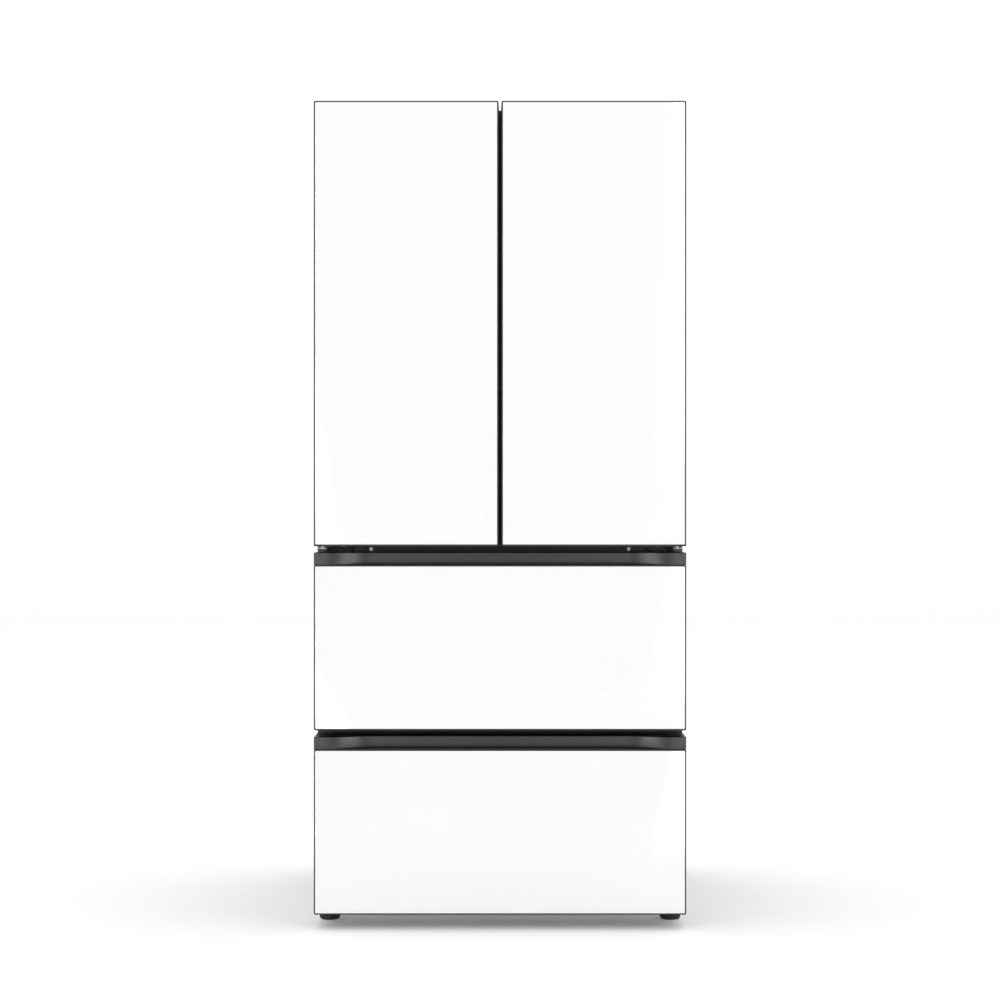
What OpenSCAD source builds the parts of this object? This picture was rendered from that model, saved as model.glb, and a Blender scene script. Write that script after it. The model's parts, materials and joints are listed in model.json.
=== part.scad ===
// Four-compartment french door refrigerator: two hinged glass doors over two full-width drawers.
// Millimetres, +Z up, the front faces -Y, the origin is on the floor under the middle of the box.

/* [Overall] */
// Width of the cabinet and of the fronts
cabinet_w = 836; // [700:1:1010]
// Height from the floor to the top of the doors
overall_h = 1860; // [1550:1:2240]
// Depth from the front glass to the rear spacers
overall_d = 740; // [610:1:890]

/* [Fronts] */
// Thickness of a door or drawer front, glass included
front_t = 84; // [70:1:101]
// Thickness of the dark tray that holds the glass
fascia_t = 10; // [8:0.5:12]
// Thickness of the front glass
glass_t = 4; // [3:0.5:5]
// Dark rim beside and above the glass
rim = 2.7; // [1.5:0.1:4]
// Dark rim under a door's glass
door_rim_low = 4; // [2:0.1:6]
// Dark rim under a drawer's glass
drawer_rim_low = 3; // [2:0.1:5]
// Dark rim over a drawer's glass, below the handle strip
drawer_rim_top = 3; // [2:0.1:5]
// Corner radius of the fronts
corner_r = 3; // [1:0.5:5]
// Gap between the two doors at the glass
centre_gap = 7; // [5:0.5:10]
// Gap between the two doors at their backs
centre_gap_back = 4.7; // [4:0.1:7]
// Height of a drawer front
drawer_front_h = 398.5; // [330:0.5:480]
// Floor to the bottom of the lower drawer front
toe_gap = 33; // [28:1:40]
// Gap between the two drawer fronts
drawer_gap = 15.5; // [10:0.5:20]
// Gap between the upper drawer front and the doors
hinge_gap = 14.5; // [11:0.5:20]

/* [Handle strip] */
// Height of the handle strip along the top of a drawer front
strip_h = 27.5; // [24:0.5:36]
// Depth of the recess in the strip
recess_d = 24; // [18:1:29]
// Length of the flush end of the strip
strip_end = 28; // [20:1:60]
// Length of the curve between the flush end and the recess floor
strip_bend = 100; // [60:1:120]
// Metal left behind the recess floor
strip_back = 6; // [3:0.5:9]
// Depth of the finger pocket below the strip, behind the glass
pocket_drop = 33; // [20:1:45]
// Length of the finger pocket under a door
door_pocket_l = 210; // [120:1:250]
// Height of the finger pocket under a door
door_pocket_h = 30; // [20:1:40]

/* [Cabinet] */
// Thickness of the painted steel sheet
sheet_t = 1; // [0.8:0.1:1.5]
// Side wall, sheet and liner included
side_wall = 54; // [45:1:65]
// Top wall, sheet and liner included
top_wall = 60; // [50:1:72]
// Rear wall, sheet and liner included
back_wall = 65; // [54:1:78]
// Floor under the lower drawer, without the base plate
floor_wall = 54; // [45:1:65]
// Width of the fixed pillar between the upper chambers
mullion_w = 60; // [52:1:80]
// Thickness of the plastic liners
liner_t = 2; // [1.5:0.5:3]
// Door top above the steel top of the cabinet
cabinet_drop = 22; // [18:1:30]
// Height of the hinge and wiring cover on the cabinet
top_cover_h = 19; // [16:1:22]
// Depth of that cover
top_cover_d = 110; // [90:1:130]
// Wall of that cover
top_cover_wall = 2; // [1.5:0.5:3]
// Depth of the rear spacers
rear_gap = 10; // [8:1:20]
// Floor to the underside of the base plate
base_z = 34; // [29:1:40]
// Thickness of the base plate
base_t = 2; // [1.5:0.5:3]
// Height of the machine compartment
machine_h = 204; // [190:1:245]
// Depth of the machine compartment
machine_d = 199; // [185:1:238]
// Insulation in front of the machine compartment
machine_wall = 60; // [50:1:70]

/* [Seals] */
// Width of a magnetic seal
seal_w = 18; // [14:1:18]
// Thickness of a closed seal, from front panel to cabinet
seal_t = 12; // [10:1:16]
// Distance from an opening to its seal
seal_in = 4; // [3:0.5:6]
// Distance from a front's top or bottom edge to the opening behind it
seal_border = 36; // [32:1:44]

/* [Hinges] */
// Door pivot in from the cabinet side
pivot_side = 18; // [16:1:22]
// Door pivot back from the front face
pivot_back = 32; // [28:1:38]
// Radius of the hinge pins
pin_r = 4; // [3:0.5:6]
// Radial clearance of a pin in its bore
pin_fit = 0.05; // [0.03:0.01:0.1]
// Length of the hinge pins
pin_l = 22; // [16:1:28]
// Thickness of the hinge plates
hinge_t = 5; // [3:0.5:6]
// Width of the top hinge arms
arm_w = 20; // [14:1:22]
// Length of the middle hinge brackets along the front
bracket_l = 125; // [80:1:150]

/* [Door inside] */
// Width of the raised rim of the door liners
dike_w = 18; // [12:1:22]
// Height of that rim off the door's back
dike_h = 36; // [20:1:40]
// Clearance between that rim and the opening it enters
dike_clear = 10; // [8:1:14]
// Depth of the door bins from the back of the door
bin_d = 104; // [80:1:110]
// Height of a door bin
bin_h = 110; // [80:1:130]
// Room beside the door bins for their swing past the pillar
bin_swing = 46; // [42:1:70]
// Wall of the clear plastic bins
bin_wall = 3; // [2:0.5:4]

/* [Shelves and crispers] */
// Thickness of the glass shelves
shelf_t = 5; // [4:0.5:6]
// Distance from the cabinet front to the shelf fronts
shelf_set_back = 116; // [110:1:150]
// Height of a crisper
crisper_h = 190; // [140:1:200]
// Distance from the cabinet front to the crisper fronts
crisper_set_back = 180; // [175:1:200]

/* [Drawers] */
// Height of the telescopic slides
rail_h = 40; // [30:1:46]
// Wall of the slides
rail_t = 2.5; // [2:0.5:3]
// Running gap between the members of a slide
rail_gap = 1; // [0.5:0.25:1.5]
// Width of a slide with all its members
rail_w = 22; // [18:1:24]
// Room above a drawer bin
bin_head = 32; // [20:1:45]
// Room under a drawer bin
bin_foot = 16; // [8:1:24]
// Drop from the top of a drawer bin to its hanging flange
bin_hang = 38; // [30:1:60]

/* [Feet and rollers] */
// Radius of the levelling feet
foot_r = 23.5; // [18:0.5:26]
// Height of the foot discs
foot_h = 15; // [12:1:18]
// Radius of the rounded lower edge of a foot
foot_edge = 4.5; // [2:0.5:6]
// Radius of the foot studs
stud_r = 6; // [4:0.5:8]
// Feet in from the cabinet side
foot_side = 26; // [25:1:40]
// Feet back from the cabinet front
foot_back = 25; // [24:1:60]
// Radius of the rear rollers
roller_r = 20; // [16:0.5:24]
// Width of the rear rollers
roller_w = 24; // [16:1:30]
// Radius of the roller axles
axle_r = 4; // [3:0.5:5]
// Rollers in from the cabinet side
roller_side = 58; // [40:1:90]
// Rollers forward from the cabinet back
roller_front = 60; // [40:1:90]

/* [Machine parts] */
// Radius of the condenser fan
fan_r = 62; // [45:1:70]
// Radius of the evaporator fan
evap_fan_r = 46; // [36:1:50]
// Number of fan blades
blade_n = 5; // [3:1:7]
// Radius of the fan shafts
shaft_r = 3; // [2:0.5:4]
// Radius of the compressor shell
compressor_r = 74; // [60:1:80]
// Height of the compressor shell
compressor_h = 150; // [120:1:160]
// Length of the condenser block
condenser_l = 160; // [120:1:180]
// Number of evaporator fins
fin_n = 20; // [8:1:30]

/* [Hidden] */
$fn = 48;

LEFT = -1;
RIGHT = 1;
// Drawer numbers
UPPER = 0;
LOWER = 1;
// Cuts run this far past the face they leave
past = 1;
// Clearance around the glass in its tray, and the tray's inner corner
glass_fit = 0.2;
glass_corner = max(corner_r - 1, 0.5);

// Outer half width, then the planes from front to back
half_w = cabinet_w / 2;
front_y = -overall_d / 2;
fascia_y = front_y + fascia_t;
front_back_y = front_y + front_t;
cabinet_y = front_back_y + seal_t;
cabinet_back_y = overall_d / 2 - rear_gap;
machine_y = cabinet_back_y - sheet_t - machine_d;
chamber_back_y = cabinet_back_y - back_wall;

// Levels from the floor up
lower_front_z = toe_gap;
upper_front_z = lower_front_z + drawer_front_h + drawer_gap;
door_z = upper_front_z + drawer_front_h + hinge_gap;
cabinet_top_z = overall_h - cabinet_drop;
floor_z = base_z + base_t;
machine_top_z = floor_z + machine_h;

// Openings of the cabinet: low and high corners of their clear inside
chamber_x = half_w - side_wall;
pillar_x = mullion_w / 2;
fridge_lo = [-chamber_x, cabinet_y, door_z + seal_border];
fridge_hi = [-pillar_x, chamber_back_y, cabinet_top_z - top_wall];
drawer_z = [upper_front_z, lower_front_z];
drawer_lo = [
    [-chamber_x, cabinet_y, upper_front_z + seal_border],
    [-chamber_x, cabinet_y, floor_z + floor_wall]
];
drawer_hi = [
    [chamber_x, chamber_back_y, upper_front_z + drawer_front_h - seal_border],
    [chamber_x, machine_y - machine_wall, lower_front_z + drawer_front_h - seal_border]
];

// Door pivot
pivot_x = half_w - pivot_side;
pivot_y = front_y + pivot_back;
hinge_z = cabinet_top_z;
// The recess floor in the door's top corner stays below the hinge arm
arm_clear = 3;
// Middle hinge bracket, centred in its gap with a little more room above
bracket_z = door_z - hinge_gap + (hinge_gap - hinge_t) / 2 - 1;
bracket_x = -half_w + 10;
bracket_arm_l = 70;
washer_t = 2;
washer_r = 12;
bracket_arm_w = 26;
flange_t = 3;
flange_h = 32;
screw_r = 3;
screw_head_r = 5;
screw_head_t = 2.5;
hinge_base_w = 56;
hinge_base_d = 70;
hinge_base_set = 4;

// Drawer insides: the air duct panel and evaporator stand behind the upper bin
duct_panel_t = 4;
evap_space = 76;
bin_back_gap = 20;
bin_front_gap = 2;
bin_z0 = [for (i = [UPPER, LOWER]) drawer_lo[i].z + bin_foot];
bin_z1 = [for (i = [UPPER, LOWER]) drawer_hi[i].z - bin_head];
bin_back_y = [drawer_hi[UPPER].y - evap_space - bin_back_gap, drawer_hi[LOWER].y - bin_back_gap];
bin_half_w = chamber_x - rail_w - 2;
rail_top_z = [for (i = [UPPER, LOWER]) bin_z1[i] - bin_hang];
rail_front_y = cabinet_y + 12;
flange_lip = 4;

// Door insides
dike_lo = fridge_lo + [dike_clear, 0, dike_clear];
dike_hi = fridge_hi - [dike_clear, 0, dike_clear];
bin_lo_x = dike_lo.x + dike_w + 1;
bin_hi_x = -pillar_x - bin_swing;
bin_levels = [0.05, 0.38, 0.72];
door_bin_z = [for (s = bin_levels) dike_lo.z + dike_w + s * (dike_hi.z - dike_lo.z - 2 * dike_w)];

// Shelves stand over the crisper and then share the height that is left
crisper_lift = 2;
shelf_n = 3;
shelf_z0 = fridge_lo.z + crisper_lift + crisper_h + 14;
shelf_step = (fridge_hi.z - shelf_z0) / shelf_n;
shelf_side_gap = 2;
shelf_back_gap = 24;
ledge_w = 7;
ledge_h = 8;
crisper_side_gap = 12;
crisper_back_gap = 30;

// Room around a rear roller
roller_clear = 3;

// Fans, motors and blocks of the cooling circuit
hub_r = 14;
motor_l = 34;
motor_r = 20;
fan_t = 22;
condenser_fan_y = machine_y + machine_d / 2;
condenser_fan_z = floor_z + machine_h / 2;
condenser_fan_x = -10;
condenser_x = condenser_fan_x + fan_t + 24;
tube_end = 4;
evap_fan_z = drawer_hi[UPPER].z - evap_fan_r - 14;
evap_fan_y = chamber_back_y - motor_l - 20;

// Box between two corners
module span(lo, hi) {
    translate(lo)
        cube(hi - lo);
}

// Rectangle with round corners between two corners
module round_rect(lo, hi, r) {
    translate([lo.x + r, lo.y])
        square([hi.x - lo.x - 2 * r, hi.y - lo.y]);
    translate([lo.x, lo.y + r])
        square([hi.x - lo.x, hi.y - lo.y - 2 * r]);
    for (x = [lo.x + r, hi.x - r], y = [lo.y + r, hi.y - r])
        translate([x, y])
            circle(r);
}

// Upright panel between two corners with its four corners rounded as seen from the front
module panel(lo, hi, r) {
    translate([0, hi.y, 0])
        rotate([90, 0, 0])
            linear_extrude(hi.y - lo.y)
                round_rect([lo.x, lo.z], [hi.x, hi.z], r);
}

// Level plate between two corners with its corners rounded as seen from above
module plate(lo, hi, r) {
    translate([0, 0, lo.z])
        linear_extrude(hi.z - lo.z)
            round_rect([lo.x, lo.y], [hi.x, hi.y], r);
}

// Everything on the left is drawn once and mirrored for the right
module on_side(side) {
    if (side == LEFT)
        children();
    else
        mirror([1, 0, 0])
            children();
}

// Open-topped box
module tub(lo, hi, wall, r) {
    difference() {
        plate(lo, hi, r);
        plate(lo + [wall, wall, wall], [hi.x - wall, hi.y - wall, hi.z + past], max(r - wall, 0.5));
    }
}

// Rectangular ring of the section seal_w by seal_t around an opening
module seal(lo, hi) {
    inner_lo = [lo.x - seal_in, front_back_y - past, lo.z - seal_in];
    inner_hi = [hi.x + seal_in, cabinet_y + past, hi.z + seal_in];
    difference() {
        panel([inner_lo.x - seal_w, front_back_y, inner_lo.z - seal_w],
              [inner_hi.x + seal_w, cabinet_y, inner_hi.z + seal_w], 6);
        panel(inner_lo, inner_hi, 4);
    }
}

// ---- Cabinet shell ----

module side_panels() {
    color("#5a5858")
        for (side = [LEFT, RIGHT])
            on_side(side)
                span([-half_w, cabinet_y + sheet_t, base_z],
                     [-half_w + sheet_t, cabinet_back_y, cabinet_top_z]);
}

module top_panel() {
    color("#5a5858")
        span([-half_w + sheet_t, cabinet_y + sheet_t, cabinet_top_z - sheet_t],
             [half_w - sheet_t, cabinet_back_y, cabinet_top_z]);
}

module back_panel() {
    color("#c9cbcc")
        span([-half_w + sheet_t, cabinet_back_y - sheet_t, machine_top_z],
             [half_w - sheet_t, cabinet_back_y, cabinet_top_z - sheet_t]);
}

// Steel face that the seals close on, with one window for each opening
module front_frame() {
    color("#2c2b2b")
        difference() {
            span([-half_w, cabinet_y, base_z], [half_w, cabinet_y + sheet_t, cabinet_top_z]);
            for (side = [LEFT, RIGHT])
                on_side(side)
                    span(fridge_lo - [0, past, 0], [fridge_hi.x, cabinet_y + sheet_t + past, fridge_hi.z]);
            for (i = [UPPER, LOWER])
                span(drawer_lo[i] - [0, past, 0], [chamber_x, cabinet_y + sheet_t + past, drawer_hi[i].z]);
        }
}

// Roller ears and axles hang from the base plate, which is open over each roller
// and has a boss over each foot
module base_frame() {
    ear_t = 3;
    ear_half = 12;
    ear_drop = 8;
    ear_in = roller_w / 2 + 1.5;
    axle_x = -half_w + roller_side;
    axle_y = cabinet_back_y - roller_front;
    boss_r = stud_r + 5;
    boss_z = foot_h + 3;
    color("#8d9093")
        difference() {
            union() {
                span([-half_w + sheet_t, cabinet_y + sheet_t, base_z],
                     [half_w - sheet_t, cabinet_back_y, floor_z]);
                for (side = [LEFT, RIGHT])
                    on_side(side) {
                        for (x = [-ear_in - ear_t, ear_in])
                            translate([axle_x + x, axle_y - ear_half, roller_r - ear_drop])
                                cube([ear_t, 2 * ear_half, base_z - roller_r + ear_drop + past]);
                        translate([axle_x - ear_in - ear_t, axle_y, roller_r])
                            rotate([0, 90, 0])
                                cylinder(r = axle_r, h = 2 * (ear_in + ear_t));
                        translate([-half_w + foot_side, cabinet_y + foot_back, boss_z])
                            cylinder(r = boss_r, h = base_z - boss_z + past);
                    }
            }
            for (side = [LEFT, RIGHT])
                on_side(side) {
                    translate([-half_w + foot_side, cabinet_y + foot_back, boss_z - past])
                        cylinder(r = stud_r + pin_fit, h = floor_z - boss_z + 2 * past);
                    span([axle_x - ear_in, axle_y - roller_r - roller_clear, roller_r + axle_r + past],
                         [axle_x + ear_in, axle_y + roller_r + roller_clear, floor_z + past]);
                }
        }
}

// Foam between the steel and the liners, cut away for the chambers and the machine compartment
module cabinet_foam() {
    skin = [liner_t, 0, liner_t];
    back = [0, liner_t, 0];
    front = [0, past + sheet_t, 0];
    color("#efe2a8")
        difference() {
            span([-half_w + sheet_t, cabinet_y + sheet_t, floor_z],
                 [half_w - sheet_t, cabinet_back_y - sheet_t, cabinet_top_z - sheet_t]);
            for (side = [LEFT, RIGHT])
                on_side(side)
                    span(fridge_lo - skin - front, fridge_hi + skin + back);
            for (i = [UPPER, LOWER])
                span(drawer_lo[i] - skin - front, drawer_hi[i] + skin + back);
            span([-half_w - past, machine_y, base_z], [half_w + past, cabinet_back_y + past, machine_top_z]);
        }
}

// One liner: a thin shell around an opening, open at the front
module liner(lo, hi) {
    difference() {
        span([lo.x - liner_t, cabinet_y + sheet_t, lo.z - liner_t], hi + [liner_t, liner_t, liner_t]);
        span(lo - [0, past, 0], hi);
    }
}

// Each upper liner carries moulded ledges for its shelves
module fridge_liners() {
    sunk = 0.5;
    ledge_y = cabinet_y + shelf_set_back + 6;
    ledge_l = chamber_back_y - shelf_back_gap - ledge_y;
    color("#f4f5f5")
        for (side = [LEFT, RIGHT])
            on_side(side) {
                liner(fridge_lo, fridge_hi);
                for (k = [0:shelf_n - 1], x = [fridge_lo.x - sunk, fridge_hi.x - ledge_w])
                    translate([x, ledge_y, shelf_z0 + k * shelf_step - ledge_h])
                        cube([ledge_w + sunk, ledge_l, ledge_h]);
            }
}

module drawer_liners() {
    color("#f4f5f5")
        for (i = [UPPER, LOWER])
            liner(drawer_lo[i], drawer_hi[i]);
}

// Dark cover over the hinges and wiring, with a slot for each hinge arm
module top_cover() {
    arm_gap = 3;
    top_z = cabinet_top_z + top_cover_h;
    color("#2b2b2c")
        difference() {
            plate([-half_w, cabinet_y, cabinet_top_z], [half_w, cabinet_y + top_cover_d, top_z], 3);
            span([-half_w + top_cover_wall, cabinet_y + top_cover_wall, cabinet_top_z - past],
                 [half_w - top_cover_wall, cabinet_y + top_cover_d - top_cover_wall,
                  top_z - top_cover_wall]);
            for (side = [LEFT, RIGHT])
                on_side(side)
                    span([-pivot_x - arm_w / 2 - arm_gap, cabinet_y - past, cabinet_top_z - past],
                         [-pivot_x + arm_w / 2 + arm_gap, cabinet_y + top_cover_wall + past,
                          cabinet_top_z + hinge_t + arm_gap]);
        }
}

// Pads that keep the back off the wall
module rear_spacers() {
    inset = 90;
    half = [18, 30];
    color("#3a3c3e")
        for (x = [-half_w + inset, half_w - inset], z = [machine_top_z + inset, cabinet_top_z - inset])
            panel([x - half.x, cabinet_back_y, z - half.y],
                  [x + half.x, cabinet_back_y + rear_gap, z + half.y], 6);
}

// ---- Hinges ----

// Screw places on a top hinge's base, from the hinge side of the cabinet
function top_screws() = [
    for (y = [18, hinge_base_d - 14]) [-half_w + hinge_base_set + hinge_base_w / 2, cabinet_y + y],
    [-half_w + hinge_base_set + hinge_base_w - 10, cabinet_y + hinge_base_d / 2]
];

// Screw places on a middle hinge's upright flange: one over the arm, two beside it
function middle_screws() = [
    [bracket_x + bracket_arm_l - 20, bracket_z + hinge_t + screw_head_r + 2],
    [bracket_x + bracket_arm_l + 12, bracket_z + hinge_t / 2],
    [bracket_x + bracket_l - 12, bracket_z + hinge_t / 2]
];

module top_hinges() {
    base_x = -half_w + hinge_base_set;
    color("#54565a")
        for (side = [LEFT, RIGHT])
            on_side(side)
                difference() {
                    union() {
                        plate([base_x, cabinet_y + 4, hinge_z],
                              [base_x + hinge_base_w, cabinet_y + hinge_base_d, hinge_z + hinge_t], 4);
                        span([-pivot_x - arm_w / 2, pivot_y, hinge_z],
                             [-pivot_x + arm_w / 2, cabinet_y + 12, hinge_z + hinge_t]);
                        translate([-pivot_x, pivot_y, hinge_z])
                            cylinder(r = arm_w / 2, h = hinge_t);
                        translate([-pivot_x, pivot_y, hinge_z - pin_l])
                            cylinder(r = pin_r, h = pin_l + hinge_t);
                    }
                    for (p = top_screws())
                        translate([p.x, p.y, hinge_z - past])
                            cylinder(r = screw_r, h = hinge_t + 2 * past);
                }
}

// The bracket lies in the gap between the upper drawer and the doors,
// and its flange is screwed to the face frame
module middle_hinges() {
    bracket_d = 26;
    bracket_z1 = bracket_z + hinge_t;
    flange_mid = bracket_z + hinge_t / 2;
    color("#3b3d40")
        for (side = [LEFT, RIGHT])
            on_side(side)
                difference() {
                    union() {
                        span([bracket_x, cabinet_y - bracket_d, bracket_z],
                             [bracket_x + bracket_arm_l, cabinet_y, bracket_z1]);
                        span([-pivot_x - bracket_arm_w / 2, pivot_y, bracket_z],
                             [-pivot_x + bracket_arm_w / 2, cabinet_y, bracket_z1]);
                        translate([-pivot_x, pivot_y, bracket_z])
                            cylinder(r = bracket_arm_w / 2, h = hinge_t);
                        span([bracket_x, cabinet_y - flange_t, flange_mid - flange_h / 2],
                             [bracket_x + bracket_l, cabinet_y, flange_mid + flange_h / 2]);
                        translate([-pivot_x, pivot_y, bracket_z1])
                            cylinder(r = washer_r, h = washer_t);
                        translate([-pivot_x, pivot_y, bracket_z])
                            cylinder(r = pin_r, h = door_z - bracket_z + pin_l);
                    }
                    for (p = middle_screws())
                        translate([p.x, cabinet_y + past, p.y])
                            rotate([90, 0, 0])
                                cylinder(r = screw_r, h = flange_t + 2 * past);
                }
}

module hinge_screw(length) {
    cylinder(r = screw_r, h = length);
    translate([0, 0, length])
        cylinder(r1 = screw_head_r, r2 = screw_head_r - 1, h = screw_head_t);
}

module hinge_screws() {
    color("#b9bcc0")
        for (side = [LEFT, RIGHT])
            on_side(side) {
                for (p = top_screws())
                    translate([p.x, p.y, hinge_z])
                        hinge_screw(hinge_t);
                for (p = middle_screws())
                    translate([p.x, cabinet_y, p.y])
                        rotate([90, 0, 0])
                            hinge_screw(flange_t);
            }
}

// ---- Inside the upper chambers ----

module glass_shelves() {
    color("#cfe6e3", 0.6)
        for (side = [LEFT, RIGHT], z = [for (k = [0:shelf_n - 1]) shelf_z0 + k * shelf_step])
            on_side(side)
                plate([fridge_lo.x + shelf_side_gap, cabinet_y + shelf_set_back, z],
                      [fridge_hi.x - shelf_side_gap, chamber_back_y - shelf_back_gap, z + shelf_t], 4);
}

// Open-topped drawer with a pull along its front
module crisper(side) {
    front = cabinet_y + crisper_set_back;
    x0 = fridge_lo.x + crisper_side_gap;
    x1 = fridge_hi.x - crisper_side_gap;
    z0 = fridge_lo.z + crisper_lift;
    pull_in = 40;
    pull_d = 6;
    pull_h = 8;
    pull_z = z0 + crisper_h - 28;
    color("#dfeaf0", 0.6)
        on_side(side) {
            tub([x0, front, z0], [x1, chamber_back_y - crisper_back_gap, z0 + crisper_h], bin_wall, 8);
            span([x0 + pull_in, front - pull_d, pull_z], [x1 - pull_in, front + bin_wall, pull_z + pull_h]);
        }
}

module left_crisper() {
    crisper(LEFT);
}

module right_crisper() {
    crisper(RIGHT);
}

// A slim vented duct on the back wall of each upper chamber, and a vented panel before the evaporator
module air_ducts() {
    duct_half = 60;
    duct_t = 12;
    duct_end = 40;
    slot_n = 6;
    slot = [60, 5, 10];
    duct_y = chamber_back_y - duct_t;
    duct_z0 = shelf_z0 + 20;
    duct_z1 = fridge_hi.z - 24;
    slot_step = (duct_z1 - duct_z0 - 2 * duct_end) / slot_n;
    mid_x = (fridge_lo.x + fridge_hi.x) / 2;
    panel_y = drawer_hi[UPPER].y - evap_space;
    panel_half = chamber_x - 1;
    return_z = drawer_lo[UPPER].z + 24;
    return_pitch = 60;
    color("#e6e8ea") {
        for (side = [LEFT, RIGHT])
            on_side(side)
                difference() {
                    panel([mid_x - duct_half, duct_y, duct_z0],
                          [mid_x + duct_half, chamber_back_y, duct_z1], 12);
                    for (z = [for (k = [0:slot_n - 1]) duct_z0 + duct_end + k * slot_step])
                        span([mid_x - slot.x / 2, duct_y - past, z],
                             [mid_x + slot.x / 2, duct_y + slot.y, z + slot.z]);
                }
        difference() {
            span([-panel_half, panel_y, drawer_lo[UPPER].z + 1],
                 [panel_half, panel_y + duct_panel_t, drawer_hi[UPPER].z - 1]);
            translate([0, panel_y - past, evap_fan_z])
                rotate([-90, 0, 0])
                    cylinder(r = evap_fan_r + 2, h = duct_panel_t + 2 * past);
            for (x = [for (k = [-4:4]) k * return_pitch])
                span([x - 20, panel_y - past, return_z],
                     [x + 20, panel_y + duct_panel_t + past, return_z + 8]);
        }
    }
}

module light_bars() {
    bar = [60, 24, 6];
    bar_y = cabinet_y + 60;
    color("#fbfbf4")
        for (side = [LEFT, RIGHT])
            on_side(side)
                plate([fridge_lo.x + bar.x, bar_y, fridge_hi.z - bar.z],
                      [fridge_hi.x - bar.x, bar_y + bar.y, fridge_hi.z], 5);
}

// ---- Cooling circuit ----

// Hub with flat pitched blades, turning about Z at the origin, bored for its shaft
module fan(r) {
    difference() {
        union() {
            cylinder(r = hub_r, h = fan_t);
            for (k = [0:blade_n - 1])
                rotate([0, 0, k * 360 / blade_n])
                    translate([hub_r - 3, 0, fan_t / 2])
                        rotate([32, 0, 0])
                            translate([0, -14, -1])
                                cube([r - hub_r, 28, 2]);
        }
        translate([0, 0, -past])
            cylinder(r = shaft_r + pin_fit, h = fan_t + 2 * past);
    }
}

// Motor with its shaft, along Z; the shaft fills the fan's hub
module fan_motor() {
    cylinder(r = motor_r, h = motor_l);
    translate([0, 0, motor_l])
        cylinder(r = shaft_r, h = fan_t + 6);
}

module condenser_fan() {
    color("#3f4245")
        translate([condenser_fan_x, condenser_fan_y, condenser_fan_z])
            rotate([0, 90, 0])
                fan(fan_r);
}

module evaporator_fan() {
    color("#e9e9e9")
        translate([0, evap_fan_y, evap_fan_z])
            rotate([90, 0, 0])
                fan(evap_fan_r);
}

module fan_motors() {
    shaft_gap = 4;
    post = [8, 24];
    color("#6b6e72") {
        translate([condenser_fan_x - motor_l - shaft_gap, condenser_fan_y, condenser_fan_z])
            rotate([0, 90, 0])
                fan_motor();
        translate([condenser_fan_x - motor_l - shaft_gap + 6, condenser_fan_y - post.y / 2, floor_z])
            cube([post.x, post.y, condenser_fan_z - floor_z - 10]);
        translate([0, evap_fan_y + motor_l + shaft_gap, evap_fan_z])
            rotate([90, 0, 0])
                fan_motor();
        translate([-post.y / 2, evap_fan_y + motor_l, evap_fan_z - post.y / 2])
            cube([post.y, chamber_back_y - evap_fan_y - motor_l, post.y]);
    }
}

// Shell with a domed top and base, its base plate and four rubber mounts
module compressor() {
    x = -half_w + 190;
    mount_h = 12;
    mount_r = 10;
    plate_t = 5;
    dome = 34;
    steps = 6;
    half = [compressor_r + 8, compressor_r - 24];
    angles = [for (k = [1:steps]) 90 * k / steps];
    low = [for (a = angles) [compressor_r * sin(a), dome - dome * cos(a)]];
    high = [for (k = [steps - 1:-1:0]) [low[k].x, compressor_h - low[k].y]];
    color("#1f2123")
        translate([x, condenser_fan_y, floor_z]) {
            translate([0, 0, mount_h + plate_t - 2])
                rotate_extrude()
                    polygon(concat([[0, 0]], low, high, [[0, compressor_h]]));
            plate([-half.x, -half.y, mount_h], [half.x, half.y, mount_h + plate_t], mount_r);
            for (sx = [-1, 1], sy = [-1, 1])
                translate([sx * (half.x - 12), sy * (half.y - 14), 0])
                    cylinder(r = mount_r, h = mount_h + past);
        }
}

// Finned block with its tube ends
module condenser() {
    y0 = machine_y + 14;
    depth = machine_d - 34;
    height = machine_h - 30;
    fins = 16;
    pitch = condenser_l / fins;
    color("#2e3134")
        translate([condenser_x, y0, floor_z]) {
            cube([condenser_l, depth, 6]);
            for (k = [0:fins])
                translate([k * pitch - (k == fins ? 2 : 0), 0, 0])
                    cube([2, depth, height]);
            for (z = [30:36:height - 20], y = [20:40:depth - 10])
                translate([-tube_end, y, z])
                    rotate([0, 90, 0])
                        cylinder(r = 4, h = condenser_l + 2 * tube_end);
        }
}

module evaporator() {
    half_l = chamber_x - 90;
    depth = 44;
    z0 = drawer_lo[UPPER].z + 20;
    height = evap_fan_z - evap_fan_r - 30 - z0;
    y0 = chamber_back_y - depth - 10;
    color("#c4c8cb")
        translate([0, y0, z0]) {
            for (k = [0:fin_n])
                translate([-half_l + k * (2 * half_l - 2) / fin_n, 0, 0])
                    cube([2, depth, height]);
            for (z = [16:32:height - 12], y = [12, depth - 12])
                translate([-half_l - 6, y, z])
                    rotate([0, 90, 0])
                        cylinder(r = 4, h = 2 * half_l + 12);
        }
}

// Tray beside the condenser, over the roller
module drain_pan() {
    side_gap = 16;
    pan_h = 42;
    pan_z = max(floor_z, 2 * roller_r + roller_clear);
    color("#2a2c2e")
        tub([condenser_x + condenser_l + tube_end + side_gap, machine_y + side_gap, pan_z],
            [half_w - side_gap, cabinet_back_y - 20, pan_z + pan_h], 2.5, 10);
}

// Place of the power inlet on the rear cover: middle and half sizes
inlet_mid = [-half_w + 48, floor_z + machine_h * 0.6];
inlet_half = [24, 14];

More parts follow.
